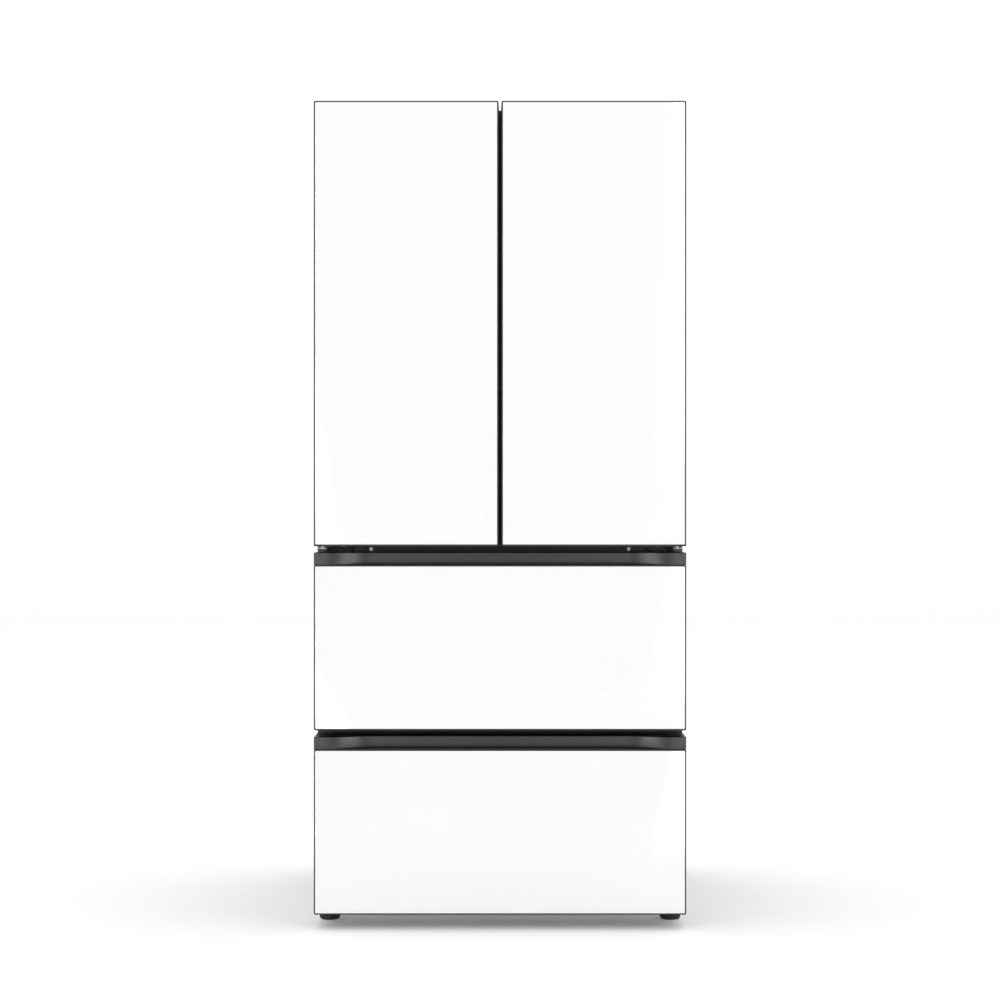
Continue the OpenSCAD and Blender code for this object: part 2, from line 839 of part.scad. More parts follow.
module machine_cover() {
    cover_t = 1.5;
    edge = 2;
    slot_w = 9;
    slot_pitch = 22;
    slot_x0 = -half_w + 110;
    slot_n = floor((cabinet_w - 180) / slot_pitch);
    color("#b9bcbe")
        difference() {
            span([-half_w + edge, cabinet_back_y - cover_t, floor_z + 1],
                 [half_w - edge, cabinet_back_y, machine_top_z - edge]);
            for (k = [0:slot_n - 1], z = [floor_z + 30, floor_z + machine_h / 2 + 8])
                span([slot_x0 + k * slot_pitch, cabinet_back_y - cover_t - past, z],
                     [slot_x0 + k * slot_pitch + slot_w, cabinet_back_y + past, z + machine_h / 2 - 44]);
            span([inlet_mid.x - inlet_half.x, cabinet_back_y - cover_t - past, inlet_mid.y - inlet_half.y],
                 [inlet_mid.x + inlet_half.x, cabinet_back_y + past, inlet_mid.y + inlet_half.y]);
        }
}

// Appliance inlet: a flanged housing with a socket and three blades
module power_inlet() {
    depth = 26;
    wall = 4;
    blade_t = 1.5;
    lip = 4;
    lip_t = 3;
    color("#161718")
        translate([inlet_mid.x, cabinet_back_y, inlet_mid.y]) {
            difference() {
                union() {
                    span([-inlet_half.x, -depth, -inlet_half.y], [inlet_half.x, 1, inlet_half.y]);
                    panel([-inlet_half.x - lip, 0, -inlet_half.y - lip],
                          [inlet_half.x + lip, lip_t, inlet_half.y + lip], 3);
                }
                span([-inlet_half.x + wall, -depth + wall, -inlet_half.y + wall],
                     [inlet_half.x - wall, lip_t + past, inlet_half.y - wall]);
            }
            for (x = [-9, 0, 9])
                span([x - blade_t / 2, -depth + wall - past, -3], [x + blade_t / 2, -6, 3]);
        }
}

// ---- Feet and rollers ----

// Black disc with a rounded lower edge on a stud that turns in the base frame
module foot(side) {
    color("#1a1a1b")
        on_side(side)
            translate([-half_w + foot_side, cabinet_y + foot_back, 0]) {
                rotate_extrude()
                    union() {
                        square([foot_r - foot_edge, foot_h]);
                        translate([0, foot_edge])
                            square([foot_r, foot_h - foot_edge]);
                        translate([foot_r - foot_edge, foot_edge])
                            circle(foot_edge);
                    }
                translate([0, 0, foot_h - past])
                    cylinder(r = stud_r, h = floor_z - foot_h);
            }
}

module left_foot() {
    foot(LEFT);
}

module right_foot() {
    foot(RIGHT);
}

module rear_roller(side) {
    color("#3c3d3f")
        on_side(side)
            translate([-half_w + roller_side - roller_w / 2, cabinet_back_y - roller_front, roller_r])
                rotate([0, 90, 0])
                    difference() {
                        cylinder(r = roller_r, h = roller_w);
                        translate([0, 0, -past])
                            cylinder(r = axle_r + pin_fit, h = roller_w + 2 * past);
                    }
}

module left_rear_roller() {
    rear_roller(LEFT);
}

module right_rear_roller() {
    rear_roller(RIGHT);
}

// ---- Glass fronts ----

// Outline of the left door's tray: low and high corners
door_lo = [-half_w, front_y, door_z];
door_hi = [-centre_gap / 2, fascia_y, overall_h];
// Outline of each drawer's tray, below its handle strip
tray_lo = [for (i = [UPPER, LOWER]) [-half_w, front_y, drawer_z[i]]];
tray_hi = [for (i = [UPPER, LOWER]) [half_w, fascia_y, drawer_z[i] + drawer_front_h - strip_h]];

// Tray that holds a front glass; its rim is rim_low under the glass and rim_top over it
module tray(lo, hi, rim_low, rim_top) {
    color("#1d1c1c")
        difference() {
            panel(lo, hi, corner_r);
            panel([lo.x + rim, lo.y - past, lo.z + rim_low],
                  [hi.x - rim, lo.y + glass_t, hi.z - rim_top], glass_corner);
        }
}

module front_glass(lo, hi, rim_low, rim_top) {
    fit = glass_fit;
    color("#fbfbfb")
        panel([lo.x + rim + fit, lo.y, lo.z + rim_low + fit],
              [hi.x - rim - fit, lo.y + glass_t, hi.z - rim_top - fit], glass_corner - fit);
}

module door_trim(side) {
    on_side(side)
        tray(door_lo, door_hi, door_rim_low, rim);
}

module door_glass(side) {
    on_side(side)
        front_glass(door_lo, door_hi, door_rim_low, rim);
}

// Foamed steel door: its free edge leans in to the back, a corner is cut for the top hinge arm,
// both ends are bored for the pins and a finger pocket opens downwards behind the glass
module door_body(side) {
    edge = 1;
    arm_room = 4;
    pocket_x1 = -pillar_x;
    color("#3a3838")
        on_side(side)
            difference() {
                translate([0, 0, door_z + edge])
                    linear_extrude(overall_h - door_z - 2 * edge)
                        polygon([
                            [-half_w, fascia_y],
                            [-centre_gap / 2, fascia_y],
                            [-centre_gap_back / 2, front_back_y],
                            [-half_w, front_back_y]
                        ]);
                span([-half_w - past, fascia_y, hinge_z - arm_clear],
                     [-pivot_x + arm_w / 2 + arm_room, front_back_y + past, overall_h + past]);
                translate([-pivot_x, pivot_y, hinge_z - arm_clear - pin_l])
                    cylinder(r = pin_r + pin_fit, h = pin_l + past);
                translate([-pivot_x, pivot_y, door_z])
                    cylinder(r = pin_r + pin_fit, h = pin_l + 2);
                span([pocket_x1 - door_pocket_l, fascia_y - past, door_z],
                     [pocket_x1, front_y + recess_d, door_z + door_pocket_h]);
            }
}

// Inner door panel: a thin back with a raised rim that enters the opening
module door_liner(side) {
    color("#f4f5f5")
        on_side(side)
            difference() {
                panel([dike_lo.x, front_back_y, dike_lo.z],
                      [dike_hi.x, front_back_y + dike_h, dike_hi.z], 8);
                panel([dike_lo.x + dike_w, front_back_y + liner_t, dike_lo.z + dike_w],
                      [dike_hi.x - dike_w, front_back_y + dike_h + past, dike_hi.z - dike_w], 6);
            }
}

module door_seal(side) {
    color("#4b4a4a")
        on_side(side)
            seal(fridge_lo, fridge_hi);
}

module door_bins(side) {
    color("#dfeaf0", 0.6)
        on_side(side)
            for (z = door_bin_z)
                tub([bin_lo_x, front_back_y + liner_t, z],
                    [bin_hi_x, front_back_y + bin_d, z + bin_h], bin_wall, 8);
}

module left_door_glass() {
    door_glass(LEFT);
}

module left_door_trim() {
    door_trim(LEFT);
}

module left_door_body() {
    door_body(LEFT);
}

module left_door_liner() {
    door_liner(LEFT);
}

module left_door_seal() {
    door_seal(LEFT);
}

module left_door_bins() {
    door_bins(LEFT);
}

module right_door_glass() {
    door_glass(RIGHT);
}

module right_door_trim() {
    door_trim(RIGHT);
}

module right_door_body() {
    door_body(RIGHT);
}

module right_door_liner() {
    door_liner(RIGHT);
}

module right_door_seal() {
    door_seal(RIGHT);
}

module right_door_bins() {
    door_bins(RIGHT);
}

// ---- Drawers ----

// Smooth step from 0 to 1
function ease(t) = (1 - cos(180 * min(max(t, 0), 1))) / 2;

// Front line of the handle strip: flush at its ends, recess_d deep along its middle
function strip_y(x) = front_y + recess_d * ease((half_w - strip_end - abs(x)) / strip_bend);

bend_steps = 20;
strip_xs = [for (k = [0:bend_steps]) half_w - strip_end - k * strip_bend / bend_steps];
strip_front = concat(
    [[-half_w, front_y]],
    [for (x = strip_xs) [-x, strip_y(x)]],
    [for (k = [bend_steps:-1:0]) [strip_xs[k], strip_y(strip_xs[k])]],
    [[half_w, front_y]]
);
strip_back_y = front_y + recess_d + strip_back;
pocket_half = half_w - strip_end - strip_bend;

module drawer_handle(i) {
    z1 = drawer_z[i] + drawer_front_h;
    color("#454241")
        translate([0, 0, z1 - strip_h])
            linear_extrude(strip_h)
                polygon(concat(strip_front, [[half_w, strip_back_y], [-half_w, strip_back_y]]));
}

// Foamed body of a drawer front, stepped for the handle strip, with the finger pocket behind the glass
module drawer_body(i) {
    z1 = drawer_z[i] + drawer_front_h;
    color("#3a3838")
        difference() {
            span([-half_w, fascia_y, drawer_z[i] + 1], [half_w, front_back_y, z1]);
            span([-half_w - past, fascia_y - past, z1 - strip_h], [half_w + past, strip_back_y, z1 + past]);
            span([-pocket_half, fascia_y - past, z1 - strip_h - pocket_drop],
                 [pocket_half, front_y + recess_d, z1 - strip_h + past]);
        }
}

module drawer_trim(i) {
    tray(tray_lo[i], tray_hi[i], drawer_rim_low, drawer_rim_top);
}

module drawer_glass(i) {
    front_glass(tray_lo[i], tray_hi[i], drawer_rim_low, drawer_rim_top);
}

module drawer_seal(i) {
    color("#4b4a4a")
        seal(drawer_lo[i], drawer_hi[i]);
}

// Deep bin that hangs by its side flanges on the moving rails
module drawer_bin(i) {
    color("#e6edf0", 0.7)
        union() {
            tub([-bin_half_w, front_back_y + bin_front_gap, bin_z0[i]],
                [bin_half_w, bin_back_y[i], bin_z1[i]], bin_wall, 12);
            for (side = [LEFT, RIGHT])
                on_side(side)
                    span([-bin_half_w - 7, rail_front_y, rail_top_z[i]],
                         [-bin_half_w + 1, bin_back_y[i] - 20, rail_top_z[i] + flange_lip]);
        }
}

// Channel of a telescopic slide: a web with two lips, between two depths
module rail_channel(x_web, x_lip, y0, y1, z1) {
    x_in = x_web < x_lip ? x_web : x_web - rail_t;
    span([x_in, y0, z1 - rail_h], [x_in + rail_t, y1, z1]);
    for (z = [z1 - rail_h, z1 - rail_t])
        span([min(x_web, x_lip), y0, z], [max(x_web, x_lip), y1, z + rail_t]);
}

rail_mid_x = chamber_x - rail_w / 2;
inner_web_x = chamber_x - rail_w;

module fixed_rails() {
    color("#aeb1b4")
        for (side = [LEFT, RIGHT], i = [UPPER, LOWER])
            on_side(side)
                rail_channel(-chamber_x, -rail_mid_x - rail_gap / 2,
                             rail_front_y, bin_back_y[i], rail_top_z[i]);
}

module middle_rails(i) {
    lip = rail_t + rail_gap;
    color("#bfc2c5")
        for (side = [LEFT, RIGHT])
            on_side(side)
                span([-chamber_x + lip, rail_front_y, rail_top_z[i] - rail_h + lip],
                     [-inner_web_x - lip, bin_back_y[i], rail_top_z[i] - lip]);
}

module drawer_rails(i) {
    color("#cfd2d4")
        for (side = [LEFT, RIGHT])
            on_side(side)
                rail_channel(-inner_web_x, -rail_mid_x + rail_gap / 2,
                             front_back_y, bin_back_y[i], rail_top_z[i]);
}

module upper_drawer_glass() {
    drawer_glass(UPPER);
}

module upper_drawer_trim() {
    drawer_trim(UPPER);
}

module upper_drawer_handle() {
    drawer_handle(UPPER);
}

module upper_drawer_body() {
    drawer_body(UPPER);
}

module upper_drawer_seal() {
    drawer_seal(UPPER);
}

module upper_drawer_bin() {
    drawer_bin(UPPER);
}

module upper_drawer_rails() {
    drawer_rails(UPPER);
}

module upper_middle_rails() {
    middle_rails(UPPER);
}

module lower_drawer_glass() {
    drawer_glass(LOWER);
}

module lower_drawer_trim() {
    drawer_trim(LOWER);
}

module lower_drawer_handle() {
    drawer_handle(LOWER);
}

module lower_drawer_body() {
    drawer_body(LOWER);
}

module lower_drawer_seal() {
    drawer_seal(LOWER);
}

module lower_drawer_bin() {
    drawer_bin(LOWER);
}

module lower_drawer_rails() {
    drawer_rails(LOWER);
}

module lower_middle_rails() {
    middle_rails(LOWER);
}

side_panels();
top_panel();
back_panel();
base_frame();
cabinet_foam();
front_frame();
fridge_liners();
drawer_liners();
top_cover();
top_hinges();
middle_hinges();
hinge_screws();
glass_shelves();
air_ducts();
light_bars();
left_crisper();
right_crisper();
evaporator();
evaporator_fan();
fan_motors();
compressor();
condenser();
condenser_fan();
drain_pan();
machine_cover();
power_inlet();
rear_spacers();
fixed_rails();
left_foot();
right_foot();
left_rear_roller();
right_rear_roller();
left_door_glass();
left_door_trim();
left_door_body();
left_door_liner();
left_door_seal();
left_door_bins();
right_door_glass();
right_door_trim();
right_door_body();
right_door_liner();
right_door_seal();
right_door_bins();
upper_drawer_glass();
upper_drawer_trim();
upper_drawer_handle();
upper_drawer_body();
upper_drawer_seal();
upper_drawer_bin();
upper_drawer_rails();
upper_middle_rails();
lower_drawer_glass();
lower_drawer_trim();
lower_drawer_handle();
lower_drawer_body();
lower_drawer_seal();
lower_drawer_bin();
lower_drawer_rails();
lower_middle_rails();
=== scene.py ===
"""Visual model of a four-compartment french door refrigerator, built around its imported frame."""
import json
import logging
import math
from dataclasses import dataclass, field
from enum import Enum
from typing import ClassVar, Sequence

import bpy
import numpy as np
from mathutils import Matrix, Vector


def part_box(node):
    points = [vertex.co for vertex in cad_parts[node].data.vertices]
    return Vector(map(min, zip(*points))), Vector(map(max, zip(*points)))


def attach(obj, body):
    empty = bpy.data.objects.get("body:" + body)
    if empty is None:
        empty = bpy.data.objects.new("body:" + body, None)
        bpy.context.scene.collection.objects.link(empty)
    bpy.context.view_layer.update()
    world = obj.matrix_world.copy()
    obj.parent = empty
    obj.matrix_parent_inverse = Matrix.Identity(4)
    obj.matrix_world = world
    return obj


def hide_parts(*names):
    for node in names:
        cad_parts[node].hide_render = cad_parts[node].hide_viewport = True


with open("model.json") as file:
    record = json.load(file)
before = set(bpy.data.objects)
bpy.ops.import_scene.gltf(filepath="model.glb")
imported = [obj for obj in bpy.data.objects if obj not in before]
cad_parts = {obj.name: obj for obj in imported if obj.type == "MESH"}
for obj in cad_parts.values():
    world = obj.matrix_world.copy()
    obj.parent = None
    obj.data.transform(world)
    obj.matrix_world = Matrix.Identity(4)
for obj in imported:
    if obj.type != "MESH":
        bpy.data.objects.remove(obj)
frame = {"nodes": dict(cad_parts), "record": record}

logging.basicConfig(level=logging.INFO, format="%(message)s")
LOG = logging.getLogger("refrigerator")

MM = 0.001
Array = np.ndarray
RECORD = frame["record"]
BODY_OF: dict[str, str] = {n: b for b, names in RECORD["behaviour"]["bodies"].items() for n in names}
SLOT_OF: dict[str, str] = {s["node"]: s["material_slot"] for s in RECORD["subparts"]}
DOORS = ("left_door", "right_door")
DRAWERS = ("upper_drawer", "lower_drawer")
SIDES = (-1.0, 1.0)


class Axis(Enum):
    """Direction that a stack of rings or a lathe climbs along."""
    X = 0
    Y = 1
    Z = 2


class Texture(Enum):
    """Relief patterns that a finish can carry."""
    PEEL = "peel"
    BRUSH = "brush"
    PEBBLE = "pebble"


# ---------------------------------------------------------------- shapes

@dataclass
class Shell:
    """One closed surface: its points and its faces."""
    points: Array
    faces: list[list[int]]

    def outward(self) -> "Shell":
        """Turn the faces so that the enclosed volume is positive.

        Returns:
            The same shell, with its faces pointing outwards.
        """
        corners = [(f[0], f[k], f[k + 1]) for f in self.faces for k in range(1, len(f) - 1)]
        a, b, c = (self.points[np.array(corners)[:, k]] for k in range(3))
        if float(np.einsum("ij,ij->", a, np.cross(b, c))) < 0:
            self.faces = [f[::-1] for f in self.faces]
        return self


def placed(flat: Array, level: Array, axis: Axis) -> Array:
    """Put ring points and their levels into space.

    Args:
        flat: ring points, two numbers each, in the plane across the axis.
        level: distance along the axis, one for each point.
        axis: the direction the rings are stacked along.

    Returns:
        Points in space: the two flat numbers fill the other two axes in X, Y, Z order.
    """
    out = np.empty(flat.shape[:-1] + (3,))
    others = [k for k in range(3) if k != axis.value]
    out[..., others[0]] = flat[..., 0]
    out[..., others[1]] = flat[..., 1]
    out[..., axis.value] = level
    return out


def rounded_rings(lo: Array, hi: Array, radius: Array, corner_steps: int = 6) -> Array:
    """Rounded rectangles, one for each row of lo, hi and radius.

    A ring is four quarter circles: corner centre plus radius times (cos a, sin a), with a from the
    corner's own start over 90 degrees.

    Args:
        lo: low corners, shape (m, 2).
        hi: high corners, shape (m, 2).
        radius: corner radii, shape (m,).
        corner_steps: intervals in each quarter circle.

    Returns:
        Ring points, shape (m, 4 * (corner_steps + 1), 2).
    """
    r = radius[:, None]
    turn = np.linspace(0.0, math.pi / 2, corner_steps + 1)
    rings = []
    for k, (sx, sy) in enumerate(((1, 1), (-1, 1), (-1, -1), (1, -1))):
        angle = turn + k * math.pi / 2
        cx = (hi[:, :1] - r) if sx > 0 else (lo[:, :1] + r)
        cy = (hi[:, 1:] - r) if sy > 0 else (lo[:, 1:] + r)
        rings.append(np.stack([cx + r * np.cos(angle), cy + r * np.sin(angle)], axis=-1))
    return np.concatenate(rings, axis=1)


def loft(rings: Array, wrap: bool = False) -> Shell:
    """Join stacked closed rings by quads, and close both ends or join the last ring to the first.

    Args:
        rings: points, shape (m, n, 3).
        wrap: join the last ring back to the first, as round a hoop, in place of end caps.

    Returns:
        A closed shell.
    """
    m, n = rings.shape[:2]
    row = np.arange(m if wrap else m - 1)[:, None]
    col = np.arange(n)[None, :]
    nxt_row, nxt_col = (row + 1) % m, (col + 1) % n
    quads = np.stack([row * n + col, row * n + nxt_col, nxt_row * n + nxt_col, nxt_row * n + col], axis=-1)
    faces = quads.reshape(-1, 4).tolist()
    if not wrap:
        faces.append(list(range(n))[::-1])
        faces.append(list(range((m - 1) * n, m * n)))
    return Shell(rings.reshape(-1, 3), faces).outward()


def stack(lo: Sequence[float], hi: Sequence[float], insets: Sequence[float], levels: Sequence[float],
          corner: float, axis: Axis, wrap: bool = False, corner_steps: int = 6) -> Shell:
    """Rounded rectangle carried along a section of insets and levels.

    Args:
        lo, hi: corners of the outermost rectangle, across the axis.
        insets: how far each ring is drawn in from that rectangle.
        levels: where each ring lies along the axis.
        corner: corner radius of the outermost rectangle.
        axis: the direction the rings climb along.
        wrap: close the section into a hoop.
        corner_steps: intervals in each rounded corner.

    Returns:
        A closed shell.
    """
    inset = np.asarray(insets, float)
    level = np.asarray(levels, float)
    low = np.asarray(lo, float)[None, :] + inset[:, None]
    high = np.asarray(hi, float)[None, :] - inset[:, None]
    half = (high - low).min(axis=1) / 2
    radius = np.minimum(np.maximum(corner - inset, 0.15 * MM), half * 0.999)
    flat = rounded_rings(low, high, radius, corner_steps)
    return loft(placed(flat, np.broadcast_to(level[:, None], flat.shape[:2]), axis), wrap)


def quarter(radius: float, steps: int = 4) -> tuple[Array, Array]:
    """Quarter circle as insets falling from radius to 0 and rises growing from 0 to radius.

    Args:
        radius: radius of the edge rounding.
        steps: intervals over the quarter turn.

    Returns:
        Insets radius * (1 - sin a) and rises radius * (1 - cos a), with a from 0 to 90 degrees.
    """
    a = np.linspace(0.0, math.pi / 2, steps + 1)
    return radius * (1 - np.sin(a)), radius * (1 - np.cos(a))


def across(v: Sequence[float], axis: Axis) -> list[float]:
    """The two coordinates of a point across an axis, in X, Y, Z order."""
    return [v[k] for k in range(3) if k != axis.value]


def slab(lo: Sequence[float], hi: Sequence[float], corner: float, fillet: float, axis: Axis,
         corner_steps: int = 6) -> Shell:
    """Block with round corners across the axis and rounded edges at both its ends.

    Args:
        lo, hi: corners in space.
        corner: radius of the four corners across the axis.
        fillet: radius of the edges at the two ends.
        axis: the direction of the two ends.
        corner_steps: intervals in each corner.

    Returns:
        A closed shell.
    """
    inset, rise = quarter(fillet, 3)
    insets = np.concatenate([inset, inset[::-1]])
    levels = np.concatenate([lo[axis.value] + rise, hi[axis.value] - rise[::-1]])
    return stack(across(lo, axis), across(hi, axis), insets, levels, max(corner, fillet * 1.02), axis,
                 corner_steps=corner_steps)


def tub(lo: Sequence[float], hi: Sequence[float], wall: float, corner: float, draft: float = 0.0,
        lip: float = 0.0) -> Shell:
    """Open-topped moulded box: floor edges rounded, walls drafted, rim rolled over.

    The section runs up the outside, over the rim in a half circle and down the inside.

    Args:
        lo, hi: corners of the outside.
        wall: wall thickness.
        corner: radius of the upright corners.
        draft: how much narrower the outside is at its floor than at its rim.
        lip: how far a rim bead stands out from the wall, taken from inside the box given.

    Returns:
        A closed shell.
    """
    foot = min(6 * MM, corner * 0.8)
    inset, rise = quarter(foot, 4)
    bead = max(wall, 3 * MM)
    over = np.linspace(0.0, math.pi, 7)
    outside_in = inset + draft + lip
    inner_foot = max(foot - wall, 1 * MM)
    in_inset, in_rise = quarter(inner_foot, 3)
    insets = np.concatenate([
        outside_in, [lip, lip, 0.0],
        bead / 2 - bead / 2 * np.cos(over),
        [lip + wall], (in_inset + draft + lip + wall)[::-1],
    ])
    levels = np.concatenate([
        lo[2] + rise, [hi[2] - 3 * bead, hi[2] - 2.6 * bead, hi[2] - 2.2 * bead],
        hi[2] - bead / 2 + bead / 2 * np.sin(over),
        [hi[2] - 3 * bead], (lo[2] + wall + in_rise)[::-1],
    ])
    return stack(lo[:2], hi[:2], insets, levels, corner, Axis.Z)


def formed_box(lo: Sequence[float], hi: Sequence[float], wall: float, corner: float, mouth: float) -> Shell:
    """Thin box open towards -Y, as a vacuum-formed liner is.

    Rings run from the inside of the rear wall forwards to the mouth, and back along the outside. The
    corner radius falls to a small one at the mouth by a smooth step, and the rear edges are quarter
    rounds.

    Args:
        lo, hi: corners of the outside.
        wall: wall thickness.
        corner: radius of the long corners and the rear edges inside.
        mouth: length over which the corners open out at the front.

    Returns:
        A closed shell.
    """
    turn = np.linspace(0.0, math.pi / 2, 6)
    blend = np.linspace(0.0, 1.0, 6)
    small = 1.5 * MM
    eased = corner + (small - corner) * (1 - np.cos(math.pi * blend)) / 2
    inner_in = np.concatenate([wall + corner * (1 - np.sin(turn)), np.full(6, wall)])
    inner_y = np.concatenate([hi[1] - wall - corner * (1 - np.cos(turn)), lo[1] + mouth * (1 - blend)])
    inner_r = np.concatenate([np.maximum(corner * np.sin(turn), small), eased])
    insets = np.concatenate([inner_in, [0.0, 0.0, 0.0, wall]])
    levels = np.concatenate([inner_y, [lo[1], lo[1] + mouth, hi[1] - wall, hi[1]]])
    radii = np.concatenate([inner_r, [small, corner, corner, corner]])
    low = np.array([lo[0], lo[2]])[None, :] + insets[:, None]
    high = np.array([hi[0], hi[2]])[None, :] - insets[:, None]
    flat = rounded_rings(low, high, radii)
    return loft(placed(flat, np.broadcast_to(levels[:, None], flat.shape[:2]), Axis.Y))


def lathe(radii: Sequence[float], levels: Sequence[float], centre: Sequence[float], axis: Axis,
          steps: int = 48) -> Shell:
    """Profile turned about an axis: each ring is centre plus radius times (cos a, sin a).

    Args:
        radii, levels: the profile, from one end to the other.
        centre: a point on the axis; the levels count from it.
        axis: the turning axis.
        steps: points round each ring.

    Returns:
        A closed shell with flat ends.
    """
    angle = np.arange(steps) * 2 * math.pi / steps
    r = np.asarray(radii, float)[:, None]
    mid = across(centre, axis)
    flat = np.stack([mid[0] + r * np.cos(angle), mid[1] + r * np.sin(angle)], axis=-1)
    level = centre[axis.value] + np.asarray(levels, float)[:, None]
    return loft(placed(flat, np.broadcast_to(level, flat.shape[:2]), axis))


def tube(path: Array, radius: float, steps: int = 10) -> Shell:
    """Round section carried along a path.

    Each ring lies across the path's local direction: point plus radius times (cos a times side plus
    sin a times up), where side and up come from crossing the direction with a fixed helper.

    Args:
        path: centre points, shape (m, 3).
        radius: radius of the section.
        steps: points round the section.

    Returns:
        A closed shell.
    """
    along = np.gradient(path, axis=0)
    along /= np.linalg.norm(along, axis=1, keepdims=True)
    helper = np.array([0.31, 0.22, 0.925])
    side = np.cross(along, helper)
    side /= np.linalg.norm(side, axis=1, keepdims=True)
    up = np.cross(along, side)
    a = np.arange(steps) * 2 * math.pi / steps
    ring = side[:, None, :] * np.cos(a)[None, :, None] + up[:, None, :] * np.sin(a)[None, :, None]
    return loft(path[:, None, :] + radius * ring)


def rounded_path(corners: Array, radius: float, steps: int = 6) -> Array:
    """Path through corner points with each bend eased by a quadratic curve.

    Args:
        corners: points, shape (m, 3).
        radius: how far before and after a corner its bend begins and ends.
        steps: intervals in each bend.

    Returns:
        The eased path's points.
    """
    t = np.linspace(0, 1, steps + 1)[:, None]
    pieces = [corners[:1]]
    for before, at, after in zip(corners[:-2], corners[1:-1], corners[2:]):
        p = at + (before - at) / np.linalg.norm(before - at) * radius
        q = at + (after - at) / np.linalg.norm(after - at) * radius
        pieces.append((1 - t) ** 2 * p + 2 * t * (1 - t) * at + t ** 2 * q)
    pieces.append(corners[-1:])
    return np.concatenate(pieces)


def relief_sheet(lo: Sequence[float], hi: Sequence[float], height: Array) -> Shell:
    """Upright sheet facing +Y whose face follows a grid of heights, closed by a flat back.

    Args:
        lo, hi: corners; the face stands at hi's Y less the heights.
        height: depth of the face behind hi's Y, shape (columns, rows).

    Returns:
        A closed shell.
    """
    nx, nz = height.shape
    x = np.linspace(lo[0], hi[0], nx)
    z = np.linspace(lo[2], hi[2], nz)
    gx, gz = np.meshgrid(x, z, indexing="ij")
    front = np.stack([gx, hi[1] - height, gz], axis=-1).reshape(-1, 3)
    back = np.stack([gx, np.full_like(gx, lo[1]), gz], axis=-1).reshape(-1, 3)
    i, j = np.meshgrid(np.arange(nx - 1), np.arange(nz - 1), indexing="ij")
    a = (i * nz + j).ravel()
    quads = np.stack([a, a + 1, a + nz + 1, a + nz], axis=-1)
    rim = np.concatenate([np.arange(nx) * nz, (nx - 1) * nz + np.arange(1, nz),
                          np.arange(nx - 2, -1, -1) * nz + nz - 1, np.arange(nz - 2, 0, -1)])
    nxt = np.roll(rim, -1)
    total = nx * nz
    walls = np.stack([rim, nxt, nxt + total, rim + total], axis=-1)
    points = np.concatenate([front, back])
    return Shell(points, np.concatenate([quads[:, ::-1], quads + total, walls[:, ::-1]]).tolist()).outward()


def mirrored(shell: Shell, side: float) -> Shell:
    """Copy of a left-hand shell, mirrored in X for the right-hand side.

    Args:
        shell: the shape drawn on the left.
        side: -1 keeps it, +1 mirrors it.

    Returns:
        A shell with its faces outwards.
    """
    flip = np.array([-side, 1.0, 1.0])
    return Shell(shell.points * flip, [list(f) for f in shell.faces]).outward()


def both(shells: Sequence[Shell]) -> list[Shell]:
    """Each shell once for each side of the cabinet."""
    return [mirrored(shell, side) for shell in shells for side in SIDES]


# ---------------------------------------------------------------- finishes

def link(tree: bpy.types.NodeTree, a: bpy.types.NodeSocket, b: bpy.types.NodeSocket) -> None:
    """Join two sockets."""
    tree.links.new(a, b)


def relief_group(kind: Texture) -> bpy.types.NodeTree:
    """Node group of one relief pattern, built once.

    Args:
        kind: peel is a soft noise, brush a noise drawn out along its vector's X, pebble a cell pattern.

    Returns:
        A group with Vector, Scale, Strength and Distance in, and Value and Normal out.
    """
    name = f"relief_{kind.value}"
    if name in bpy.data.node_groups:
        return bpy.data.node_groups[name]
    group = bpy.data.node_groups.new(name, "ShaderNodeTree")
    face = group.interface
    face.new_socket("Vector", in_out="INPUT", socket_type="NodeSocketVector")
    for label in ("Scale", "Strength", "Distance"):
        face.new_socket(label, in_out="INPUT", socket_type="NodeSocketFloat")
    face.new_socket("Value", in_out="OUTPUT", socket_type="NodeSocketFloat")
    face.new_socket("Normal", in_out="OUTPUT", socket_type="NodeSocketVector")
    inp = group.nodes.new("NodeGroupInput")
    out = group.nodes.new("NodeGroupOutput")
    if kind is Texture.PEBBLE:
        tex = group.nodes.new("ShaderNodeTexVoronoi")
        tex.feature = "SMOOTH_F1"
        value = tex.outputs["Distance"]
    else:
        tex = group.nodes.new("ShaderNodeTexNoise")
        tex.inputs["Detail"].default_value = 5.0 if kind is Texture.BRUSH else 2.5
        tex.inputs["Roughness"].default_value = 0.62
        value = tex.outputs["Fac"]
    bump = group.nodes.new("ShaderNodeBump")
    link(group, inp.outputs["Vector"], tex.inputs["Vector"])
    link(group, inp.outputs["Scale"], tex.inputs["Scale"])
    link(group, inp.outputs["Strength"], bump.inputs["Strength"])
    link(group, inp.outputs["Distance"], bump.inputs["Distance"])
    link(group, value, bump.inputs["Height"])
    link(group, value, out.inputs["Value"])
    link(group, bump.outputs["Normal"], out.inputs["Normal"])
    return group


